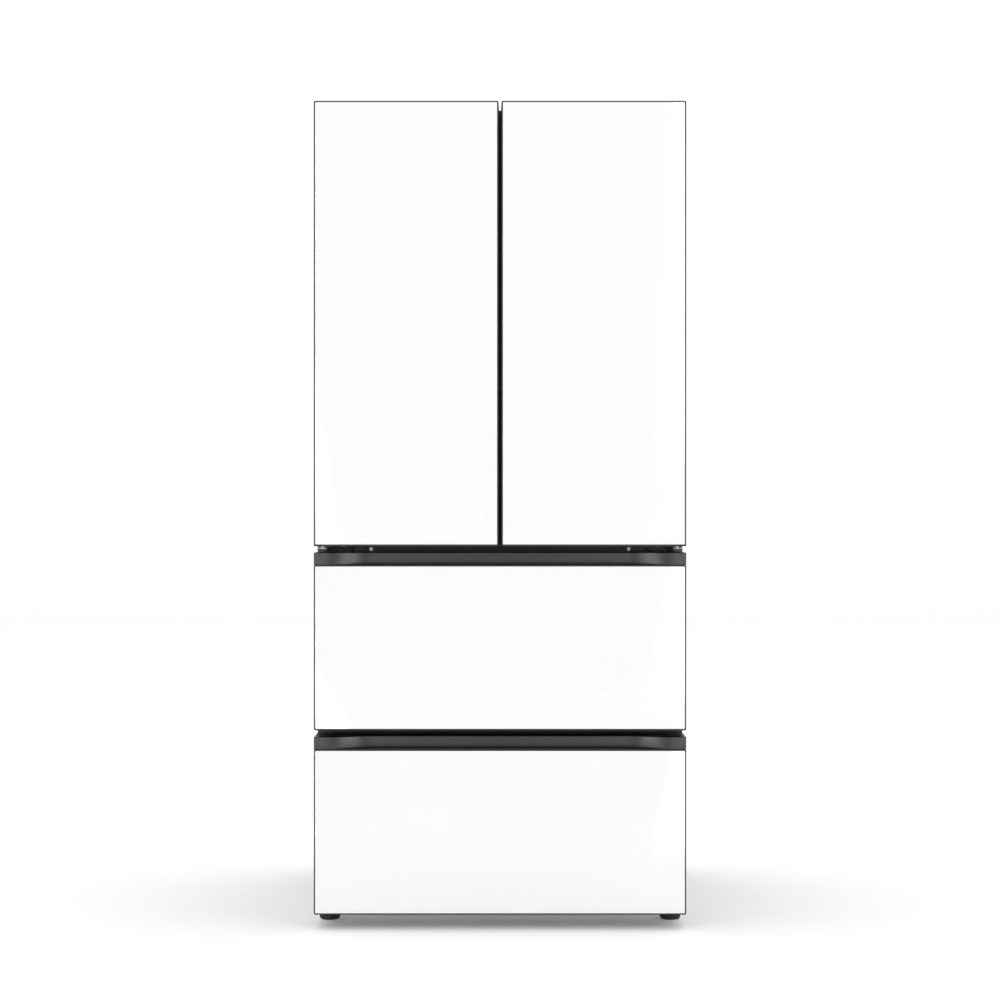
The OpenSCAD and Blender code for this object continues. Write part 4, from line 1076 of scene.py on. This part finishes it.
@dataclass
class LevellingFoot:
    """Black disc foot with a rounded sole, a knurled edge and a threaded stud."""
    name: str
    sole_edge: float = 4.5 * MM
    disc_h: float = 15 * MM
    lobes: int = 36
    thread_pitch: float = 1.75 * MM

    def build(self) -> None:
        """Turn the disc with a rippled side, and the stud with a radius that follows its thread."""
        lo, hi = corners(self.name)
        centre = [(lo[0] + hi[0]) / 2, (lo[1] + hi[1]) / 2, 0.0]
        radius = (hi[0] - lo[0]) / 2
        inset, rise = quarter(self.sole_edge, 6)
        radii = np.concatenate([radius - inset, [radius, radius, radius - 1 * MM]])
        levels = np.concatenate([rise, [self.sole_edge + 1 * MM, self.disc_h - 1 * MM, self.disc_h]])
        steps = 144
        angle = np.arange(steps) * 2 * math.pi / steps
        ripple = 1 - 0.012 * (0.5 + 0.5 * np.cos(self.lobes * angle))
        waist = np.concatenate([np.zeros(len(rise)), [1.0, 1.0, 0.0]])[:, None]
        r = radii[:, None] * (1 + waist * (ripple[None, :] - 1))
        flat = np.stack([centre[0] + r * np.cos(angle), centre[1] + r * np.sin(angle)], axis=-1)
        disc = loft(placed(flat, np.broadcast_to(levels[:, None], flat.shape[:2]), Axis.Z))
        z = np.arange(self.disc_h - 1 * MM, hi[2], self.thread_pitch / 4)
        stud_r = 5.6 * MM + 0.4 * MM * np.cos(2 * math.pi * z / self.thread_pitch)
        stud = lathe(stud_r, z, centre, Axis.Z, 24)
        nut = lathe([8.5 * MM, 9 * MM, 9 * MM, 8.5 * MM], [self.disc_h, self.disc_h + 0.5 * MM,
                    self.disc_h + 2.2 * MM, self.disc_h + 2.7 * MM], centre, Axis.Z, 6)
        place(f"{self.name}_disc", [disc], self.name)
        place(f"{self.name}_stud", [stud, nut], self.name, "bright_steel", stands=False)


@dataclass
class RearRoller:
    """Wheel with a crowned tread and a recessed web."""
    name: str
    bore: float = 4.05 * MM

    def build(self) -> None:
        """Turn the tyre section; the last ring joins the first round the bore."""
        lo, hi = corners(self.name)
        centre = (lo + hi) / 2
        radius, half = (hi[2] - lo[2]) / 2, (hi[0] - lo[0]) / 2
        half_radii = np.array([0.42, 0.46, 0.80, 0.84, 0.93, 0.985, 1.0]) * radius
        half_levels = np.array([-1.0, -1.0, -0.7, -0.7, -1.0, -1.0, -0.9, -0.5])
        radii = np.concatenate([[self.bore], half_radii, half_radii[::-1], [self.bore]])
        levels = np.concatenate([half_levels, -half_levels[::-1]])
        angle = np.arange(64) * 2 * math.pi / 64
        r = radii[:, None]
        flat = np.stack([centre[1] + r * np.cos(angle), centre[2] + r * np.sin(angle)], axis=-1)
        level = centre[0] + levels[:, None] * half
        rings = placed(flat, np.broadcast_to(level, flat.shape[:2]), Axis.X)
        place(f"{self.name}_wheel", [loft(rings, wrap=True)], self.name)


@dataclass
class Fan:
    """Moulded fan: a bored hub and blades that sweep back and lose pitch towards their tips."""
    name: str
    axis: Axis
    blades: int = 7
    hub_r: float = 14 * MM
    bore: float = 3.05 * MM

    def blade(self, centre: Array, tip: float, thick: float, turn: float) -> Shell:
        """One blade on a grid of radius and chord.

        A point lies at radius r and angle turn + sweep * s^2 + chord share * c, and its height is the
        chord place times the sine of a pitch that falls from root to tip.

        Args:
            centre: middle of the fan.
            tip: radius of the blade tips.
            thick: full height of the fan.
            turn: where the blade starts round the hub.

        Returns:
            A thin closed shell.
        """
        s = np.linspace(0, 1, 9)[:, None]
        loop = np.linspace(0, 2 * math.pi, 17)[None, :-1]
        chord, sheet = np.cos(loop), np.sin(loop)
        r = self.hub_r * 0.94 + (tip - self.hub_r * 0.94) * s
        width = (0.40 + 0.16 * np.sin(math.pi * s * 0.9)) * chord
        angle = turn + 0.45 * s ** 2 + width
        rise = (thick * 0.42 * (1 - 0.45 * s)) * chord + 0.9 * MM * sheet
        flat = np.stack([r * np.cos(angle), r * np.sin(angle)], axis=-1)
        flat = flat + np.array(across(centre, self.axis))
        return loft(placed(flat, centre[self.axis.value] + rise, self.axis))

    def build(self) -> None:
        """Make the hub and its blades."""
        lo, hi = corners(self.name)
        centre = (lo + hi) / 2
        ring = np.array([across(p, self.axis) for p in points_of(self.name)])
        pivot = pivot_of(BODY_OF[self.name])
        centre = np.where(np.arange(3) == self.axis.value, centre, pivot)
        tip = float(np.linalg.norm(ring - np.array(across(pivot, self.axis)), axis=1).max()) * 0.985
        thick = hi[self.axis.value] - lo[self.axis.value]
        half = thick / 2
        edge = 1.5 * MM
        half_radii = np.array([self.bore, self.hub_r - edge, self.hub_r])
        radii = np.concatenate([half_radii, half_radii[::-1]])
        levels = np.array([-half, -half, -half + edge, half - edge, half, half])
        angle = np.arange(48) * 2 * math.pi / 48
        mid = across(centre, self.axis)
        r = radii[:, None]
        flat = np.stack([mid[0] + r * np.cos(angle), mid[1] + r * np.sin(angle)], axis=-1)
        level = centre[self.axis.value] + levels[:, None]
        hub = loft(placed(flat, np.broadcast_to(level, flat.shape[:2]), self.axis), wrap=True)
        blades = [self.blade(centre, tip, thick, k * 2 * math.pi / self.blades) for k in range(self.blades)]
        place(f"{self.name}_rotor", [hub, *blades], self.name)


@dataclass
class Cabinet:
    """Outer pieces of the cabinet that get their own shapes."""
    sheet: float = 1 * MM
    hem_w: float = 13 * MM
    bend_r: float = 3 * MM
    swage_w: float = 24 * MM
    swage_d: float = 3.2 * MM

    def build(self) -> None:
        """Make the pieces."""
        self.sides()
        self.top()
        self.back()
        self.hinge_cover()
        self.cover_screws()
        self.spacers()
        self.compressor()
        self.tubes()

    def sides(self) -> None:
        """Side sheets folded round the rear edge into a hem that lies on the back.

        The section is a line along the side, a quarter bend and the hem, each point paired with one a
        sheet's thickness inside it.
        """
        lo, hi = corners_within("side_panels", Axis.X, -9.0, 0.0)
        turn = np.linspace(0.0, math.pi / 2, 7)
        out_y = hi[1] + self.sheet
        outer = np.concatenate([
            [[lo[0] + 0.5 * MM, lo[1]], [lo[0], lo[1] + 0.6 * MM], [lo[0], out_y - self.bend_r - 60 * MM]],
            np.stack([lo[0] + self.bend_r * (1 - np.cos(turn)),
                      out_y - self.bend_r * (1 - np.sin(turn))], axis=-1),
            [[lo[0] + self.hem_w, out_y]],
        ])
        inner_r = self.bend_r - self.sheet
        inner = np.concatenate([
            [[lo[0] + self.hem_w, hi[1]]],
            np.stack([lo[0] + self.sheet + inner_r * (1 - np.sin(turn)),
                      hi[1] - inner_r * (1 - np.cos(turn))], axis=-1),
            [[hi[0], out_y - self.bend_r - 60 * MM], [hi[0], lo[1] + 0.6 * MM], [hi[0] - 0.2 * MM, lo[1]]],
        ])
        section = np.concatenate([outer, inner])
        levels = np.linspace(lo[2], hi[2], 24)
        flat = np.broadcast_to(section[None], (len(levels),) + section.shape)
        sheet = loft(placed(flat, np.broadcast_to(levels[:, None], flat.shape[:2]), Axis.Z))
        place("side_sheets", both([sheet]), "side_panels")

    def top(self) -> None:
        """Roof sheet with two long pressed ribs, as a field of heights with smooth flanks."""
        lo, hi = corners("top_panel")
        nx, ny = 160, 90
        x = np.linspace(lo[0], hi[0], nx)[:, None]
        y = np.linspace(lo[1], hi[1], ny)[None, :]
        depth = np.zeros((nx, ny))
        y0 = corners("top_cover")[1][1]
        mid_y, half_y = (y0 + hi[1]) / 2, (hi[1] - y0) / 2
        for side in SIDES:
            dx = np.abs(x - side * hi[0] * 0.5) - hi[0] * 0.36
            dy = np.abs(y - mid_y) - half_y * 0.72
            depth += 0.8 * MM * np.clip(-np.maximum(dx, dy) / (8 * MM), 0.0, 1.0)
        sheet = relief_sheet([lo[0], lo[2], lo[1]], [hi[0], hi[2], hi[1]], depth)
        place("roof_sheet", [Shell(sheet.points[:, [0, 2, 1]], sheet.faces).outward()], "top_panel")

    def back(self) -> None:
        """Rear sheet with a tall pressed frame on each side.

        The height of the pressing is a smooth bump across the distance from each frame's outline.
        """
        lo, hi = corners("back_panel")
        nx, nz = 220, 330
        x = np.linspace(lo[0], hi[0], nx)[:, None]
        z = np.linspace(lo[2], hi[2], nz)[None, :]
        mid_z, half_z = (lo[2] + hi[2]) / 2, (hi[2] - lo[2]) / 2
        rise = np.zeros((nx, nz))
        for side in SIDES:
            dx = np.abs(x - side * hi[0] * 0.49) - hi[0] * 0.36
            dz = np.abs(z - mid_z) - half_z * 0.84
            corner = 40 * MM
            outline = np.hypot(np.maximum(dx + corner, 0), np.maximum(dz + corner, 0)) + np.minimum(
                np.maximum(dx, dz) + corner, 0) - corner
            t = np.clip(1 - np.abs(outline) / (self.swage_w / 2), 0.0, 1.0)
            rise = np.maximum(rise, (1 - np.cos(math.pi * t)) / 2)
        place("pressed_back", [relief_sheet(lo, hi, -self.swage_d * rise)], "back_panel")
        inset = 6.5 * MM
        zs = np.linspace(lo[2] + 40 * MM, hi[2] - 30 * MM, 7)
        seats = np.array([[side * (hi[0] - inset), hi[1] + self.sheet, z] for side in SIDES for z in zs])
        place("back_screws", screw_heads(seats, (0, 1, 0), 4 * MM), "back_panel", "bright_steel",
              stands=False)

    def hinge_cover(self) -> None:
        """Raised fields and screw plugs on the lid over the hinges."""
        lo, hi = corners("top_cover")
        mid_y = (lo[1] + hi[1]) / 2
        raised, plugs = [], []
        for side in SIDES:
            low = [lo[0] + 26 * MM, lo[1] + 16 * MM, hi[2] - 1 * MM]
            high = [-24 * MM, hi[1] - 16 * MM, hi[2] + 1.6 * MM]
            raised.append(mirrored(slab(low, high, 9 * MM, 1.4 * MM, Axis.Z), side))
            for x in (lo[0] + 14 * MM, lo[0] + 215 * MM, -12 * MM):
                y = mid_y if x < lo[0] + 100 * MM or x > -20 * MM else hi[1] - 8 * MM
                plug = lathe([5.6 * MM, 5.6 * MM, 5 * MM, 1 * MM],
                             [-0.5 * MM, 0.7 * MM, 1.2 * MM, 1.2 * MM], [x, y, hi[2]], Axis.Z, 24)
                plugs.append(mirrored(plug, side))
        place("hinge_cover_fields", raised, "top_cover", stands=False)
        place("hinge_cover_plugs", plugs, "top_cover", "foot_plastic", stands=False)

    def cover_screws(self) -> None:
        """Screws along the top and the bottom of the machine cover."""
        lo, hi = corners("machine_cover")
        xs = np.linspace(lo[0] + 12 * MM, hi[0] - 12 * MM, 7)
        seats = np.array([[x, hi[1], z] for x in xs for z in (lo[2] + 9 * MM, hi[2] - 9 * MM)])
        place("machine_cover_screws", screw_heads(seats, (0, 1, 0)), "machine_cover", "bright_steel",
              stands=False)

    def spacers(self) -> None:
        """Buffers with a groove across the middle and a screw in it."""
        points = points_of("rear_spacers")
        mid_z = (points[:, 2].min() + points[:, 2].max()) / 2
        pads, seats = [], []
        for low_z, high_z in ((0.0, mid_z), (mid_z, 9.0)):
            lo, hi = corners_within("rear_spacers", Axis.Z, low_z, high_z)
            width, groove = 36 * MM, 3 * MM
            middle = (lo[2] + hi[2]) / 2
            for z0, z1 in ((lo[2], middle - groove), (middle + groove, hi[2])):
                pads.append(slab([lo[0], lo[1], z0], [lo[0] + width, hi[1], z1], 6 * MM, 3 * MM, Axis.Y))
            pads.append(slab([lo[0] + 2 * MM, lo[1], lo[2] + 4 * MM],
                             [lo[0] + width - 2 * MM, hi[1] - 3 * MM, hi[2] - 4 * MM],
                             5 * MM, 1 * MM, Axis.Y))
            seats.append([lo[0] + width / 2, hi[1] - 3 * MM, middle])
        mirrored_seats = np.array([[sx * x, y, z] for x, y, z in seats for sx in SIDES])
        place("wall_buffers", both(pads), "rear_spacers")
        place("wall_buffer_screws", screw_heads(mirrored_seats, (0, 1, 0), 2.6 * MM), "rear_spacers",
              "bright_steel", stands=False)

    def tubes(self) -> None:
        """Copper suction and discharge tubes from the compressor to the condenser, along the front wall."""
        lo, hi = corners("compressor")
        fin_lo, fin_hi = corners("condenser")
        _, fan_hi = corners("condenser_fan")
        x = (lo[0] + hi[0]) / 2
        front = lo[1] - 6 * MM
        high_z = fan_hi[2] + 16 * MM
        discharge = rounded_path(np.array([
            [x, lo[1] + 30 * MM, hi[2] - 30 * MM], [x, front, hi[2] - 30 * MM], [x, front, high_z],
            [fin_lo[0] + 40 * MM, front, high_z], [fin_lo[0] + 40 * MM, fin_lo[1] + 20 * MM, high_z],
            [fin_lo[0] + 40 * MM, fin_lo[1] + 20 * MM, fin_hi[2] - 4 * MM]]), 12 * MM)
        suction = rounded_path(np.array([
            [x - 40 * MM, lo[1] + 30 * MM, hi[2] - 46 * MM], [x - 40 * MM, front, hi[2] - 46 * MM],
            [x - 40 * MM, front, high_z + 6 * MM]]), 14 * MM)
        place("cooling_tubes", [tube(discharge, 3 * MM), tube(suction, 4 * MM)], "compressor", "copper_tube",
              stands=False)

    def compressor(self) -> None:
        """Domed shell with a weld seam, its base plate, its feet and a terminal cover."""
        lo, hi = corners("compressor")
        x, y = (lo[0] + hi[0]) / 2, (lo[1] + hi[1]) / 2
        r = (hi[1] - lo[1]) / 2
        base = lo[2] + 15 * MM
        height = hi[2] - base
        a = np.linspace(0.06, math.pi / 2, 9)
        dome = 36 * MM
        seam = height * 0.56
        wall = r * 0.985
        radii = np.concatenate([wall * np.sin(a), [wall, r, r, wall], wall * np.sin(a)[::-1]])
        weld = seam + np.array([-3.0, -2.0, 2.0, 3.0]) * MM
        levels = np.concatenate([dome - dome * np.cos(a), weld, (height - dome + dome * np.cos(a))[::-1]])
        shell = lathe(radii, levels, [x, y, base], Axis.Z, 72)
        plate = slab([lo[0], y - 50 * MM, lo[2] + 12 * MM], [hi[0], y + 50 * MM, lo[2] + 17 * MM],
                     10 * MM, 1 * MM, Axis.Z)
        feet = [lathe([8 * MM, 10 * MM, 10 * MM, 8.5 * MM, 10 * MM, 9 * MM],
                      [0.0, 1 * MM, 5 * MM, 6 * MM, 7 * MM, 12.4 * MM],
                      [x + sx * 70 * MM, y + sy * 36 * MM, lo[2]], Axis.Z, 28)
                for sx in SIDES for sy in SIDES]
        cover = slab([x + r - 18 * MM, y - 22 * MM, base + 50 * MM],
                     [hi[0] - 1 * MM, y + 22 * MM, base + 104 * MM], 5 * MM, 3 * MM, Axis.X)
        place("compressor_shell", [shell, plate], "compressor")
        place("compressor_mounts", [*feet, cover], "compressor", "foot_plastic", stands=False)


@dataclass
class CarriedOver:
    """CAD nodes whose shapes are right: they get a finish, and most get softened edges."""
    plain: ClassVar[frozenset[str]] = frozenset({"cabinet_foam", "machine_cover", "condenser",
                                                 "evaporator"})
    width: float = 0.7 * MM
    angle: float = math.radians(40)
    done: list[str] = field(default_factory=list)

    def build(self) -> None:
        """Dress every node that is still shown."""
        for name, obj in frame["nodes"].items():
            if obj.hide_render:
                continue
            finish = FINISHES[SLOT_OF[name]]
            obj.data.materials.clear()
            obj.data.materials.append(finish.material())
            if name not in self.plain:
                self.soften(obj)
            self.done.append(name)
            LOG.info("%s keeps its shape, finished as %s", name, finish.name)

    def soften(self, obj: bpy.types.Object) -> None:
        """Weld the loose triangles and round the sharp edges, both as live modifiers.

        Args:
            obj: the CAD node's object.
        """
        weld = obj.modifiers.new("weld", "WELD")
        weld.merge_threshold = 0.01 * MM
        bevel = obj.modifiers.new("soft_edges", "BEVEL")
        bevel.width = self.width
        bevel.segments = 2
        bevel.limit_method = "ANGLE"
        bevel.angle_limit = self.angle
        bevel.use_clamp_overlap = True
        bevel.harden_normals = False


@dataclass
class Studio:
    """Pale floor, soft lights and the camera in front."""
    camera_y: float = -4.740
    camera_z: float = 0.964
    lens_mm: float = 70.1
    sensor_mm: float = 36.0
    floor_half: float = 12.0
    sky_turn: tuple[float, ...] = (0.0, 12.0, 20.0, 48.0, 64.0, 180.0)
    sky_glow: tuple[float, ...] = (1.0, 1.0, 0.42, 0.42, 1.0, 1.0)
    middle: tuple[float, float, float] = (0.0, 0.0, 0.95)
    key_at: tuple[float, float, float] = (-2.6, -4.4, 3.6)
    key_power: float = 31.0
    fill_at: tuple[float, float, float] = (2.8, -3.8, 3.0)
    fill_power: float = 25.0
    soft_size: tuple[float, float] = (3.0, 3.0)
    top_at: tuple[float, float, float] = (0.0, 0.4, 4.6)
    top_power: float = 22.0
    top_size: tuple[float, float] = (3.5, 3.5)
    panel_at: tuple[float, float, float] = (0.911, -1.923, 1.32)
    panel_aim: tuple[float, float, float] = (-0.337, -0.36, 1.32)
    panel_size: tuple[float, float] = (0.14, 2.64)
    panel_power: float = 18.0

    def build(self) -> None:
        """Make the camera, floor, surroundings and lights."""
        scene = bpy.context.scene
        scene.view_settings.view_transform = "Standard"
        scene.view_settings.look = "None"
        self.camera()
        self.floor()
        self.sky()
        key = self.area("key_light", self.key_at, self.soft_size, self.key_power, self.middle)
        fill = self.area("fill_light", self.fill_at, self.soft_size, self.fill_power, self.middle)
        key.visible_glossy = fill.visible_glossy = False
        self.area("top_light", self.top_at, self.top_size, self.top_power, self.middle)
        for side in SIDES:
            where, aim = ((v[0] * side, v[1], v[2]) for v in (self.panel_at, self.panel_aim))
            panel = self.area(f"panel_{'left' if side < 0 else 'right'}", where, self.panel_size,
                              self.panel_power, aim)
            panel.visible_diffuse = False

    def camera(self) -> None:
        """Level camera straight in front."""
        data = bpy.data.cameras.new("front_camera")
        data.lens = self.lens_mm
        data.sensor_width = self.sensor_mm
        obj = bpy.data.objects.new("front_camera", data)
        obj.location = (0.0, self.camera_y, self.camera_z)
        obj.rotation_euler = (math.pi / 2, 0.0, 0.0)
        bpy.context.scene.collection.objects.link(obj)
        bpy.context.scene.camera = obj

    def floor(self) -> None:
        """Large plain floor under the feet."""
        h = self.floor_half
        mesh = bpy.data.meshes.new("floor")
        mesh.from_pydata([(-h, -h, 0), (h, -h, 0), (h, h, 0), (-h, h, 0)], [], [(0, 1, 2, 3)])
        obj = bpy.data.objects.new("floor", mesh)
        finish = Finish("studio_floor", (0.985, 0.985, 0.985), (0.98, 0.98, 0.98), (0.6, 0.7),
                        relief_scale=40.0, strength=0.02, tone_scale=0.6, specular=0.1, glow=0.13)
        mesh.materials.append(finish.material())
        bpy.context.scene.collection.objects.link(obj)

    def sky(self) -> None:
        """White surroundings with a darker band at each side of the front, unseen by the camera.

        The band follows the turn away from the front, and sets off the two tall panels in the strips.
        """
        world = bpy.data.worlds.new("studio")
        world.use_nodes = True
        tree = world.node_tree
        back = tree.nodes["Background"]
        coord = tree.nodes.new("ShaderNodeTexCoord")
        parts = tree.nodes.new("ShaderNodeSeparateXYZ")
        front = tree.nodes.new("ShaderNodeMath")
        front.operation = "MULTIPLY"
        front.inputs[1].default_value = -1.0
        turn = tree.nodes.new("ShaderNodeMath")
        turn.operation = "ARCTAN2"
        size = tree.nodes.new("ShaderNodeMath")
        size.operation = "ABSOLUTE"
        curve = tree.nodes.new("ShaderNodeFloatCurve")
        path = tree.nodes.new("ShaderNodeLightPath")
        mix = tree.nodes.new("ShaderNodeMix")
        share = tree.nodes.new("ShaderNodeMath")
        share.operation = "DIVIDE"
        share.inputs[1].default_value = math.pi
        line = curve.mapping.curves[0]
        while len(line.points) < len(self.sky_turn):
            line.points.new(0.5, 0.5)
        for point, angle, glow in zip(line.points, self.sky_turn, self.sky_glow):
            point.location = (angle / 180.0, glow)
            point.handle_type = "VECTOR"
        curve.mapping.update()
        link(tree, coord.outputs["Generated"], parts.inputs["Vector"])
        link(tree, parts.outputs["Y"], front.inputs[0])
        link(tree, parts.outputs["X"], turn.inputs[0])
        link(tree, front.outputs[0], turn.inputs[1])
        link(tree, turn.outputs[0], size.inputs[0])
        link(tree, size.outputs[0], share.inputs[0])
        link(tree, share.outputs[0], curve.inputs["Value"])
        mix.inputs["B"].default_value = 1.0
        link(tree, path.outputs["Is Camera Ray"], mix.inputs["Factor"])
        link(tree, curve.outputs["Value"], mix.inputs["A"])
        link(tree, mix.outputs["Result"], back.inputs["Strength"])
        back.inputs["Color"].default_value = (1.0, 1.0, 1.0, 1.0)
        bpy.context.scene.world = world

    def area(self, name: str, where: tuple[float, float, float], size: tuple[float, float], power: float,
             aim: tuple[float, float, float]) -> bpy.types.Object:
        """Soft rectangular light, unseen by the camera.

        Args:
            name: the light's name.
            where: its place.
            size: its width and height.
            power: its power in watts.
            aim: the point it faces.

        Returns:
            The light's object.
        """
        data = bpy.data.lights.new(name, "AREA")
        data.shape = "RECTANGLE"
        data.size, data.size_y = size
        data.energy = power
        obj = bpy.data.objects.new(name, data)
        obj.location = where
        obj.rotation_euler = (Vector(aim) - Vector(where)).to_track_quat("-Z", "Y").to_euler()
        obj.visible_camera = False
        bpy.context.scene.collection.objects.link(obj)
        return obj


def main() -> None:
    """Build the pieces in order."""
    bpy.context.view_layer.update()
    Studio().build()
    for name in (*DOORS, *DRAWERS):
        GlassFront(name).build()
        SoftSeal(name).build()
    for name in DRAWERS:
        HandleStrip(name).build()
        DrawerInside(name).build()
    for name in DOORS:
        DoorInside(name).build()
    UpperChamber().build()
    DrawerLiners().build()
    MiddleHinges().build()
    for name in ("left_foot", "right_foot"):
        LevellingFoot(name).build()
    for name in ("left_rear_roller", "right_rear_roller"):
        RearRoller(name).build()
    Fan("condenser_fan", Axis.X).build()
    Fan("evaporator_fan", Axis.Y).build()
    Cabinet().build()
    CarriedOver().build()
    bpy.context.view_layer.update()


if __name__ == "__main__":
    main()
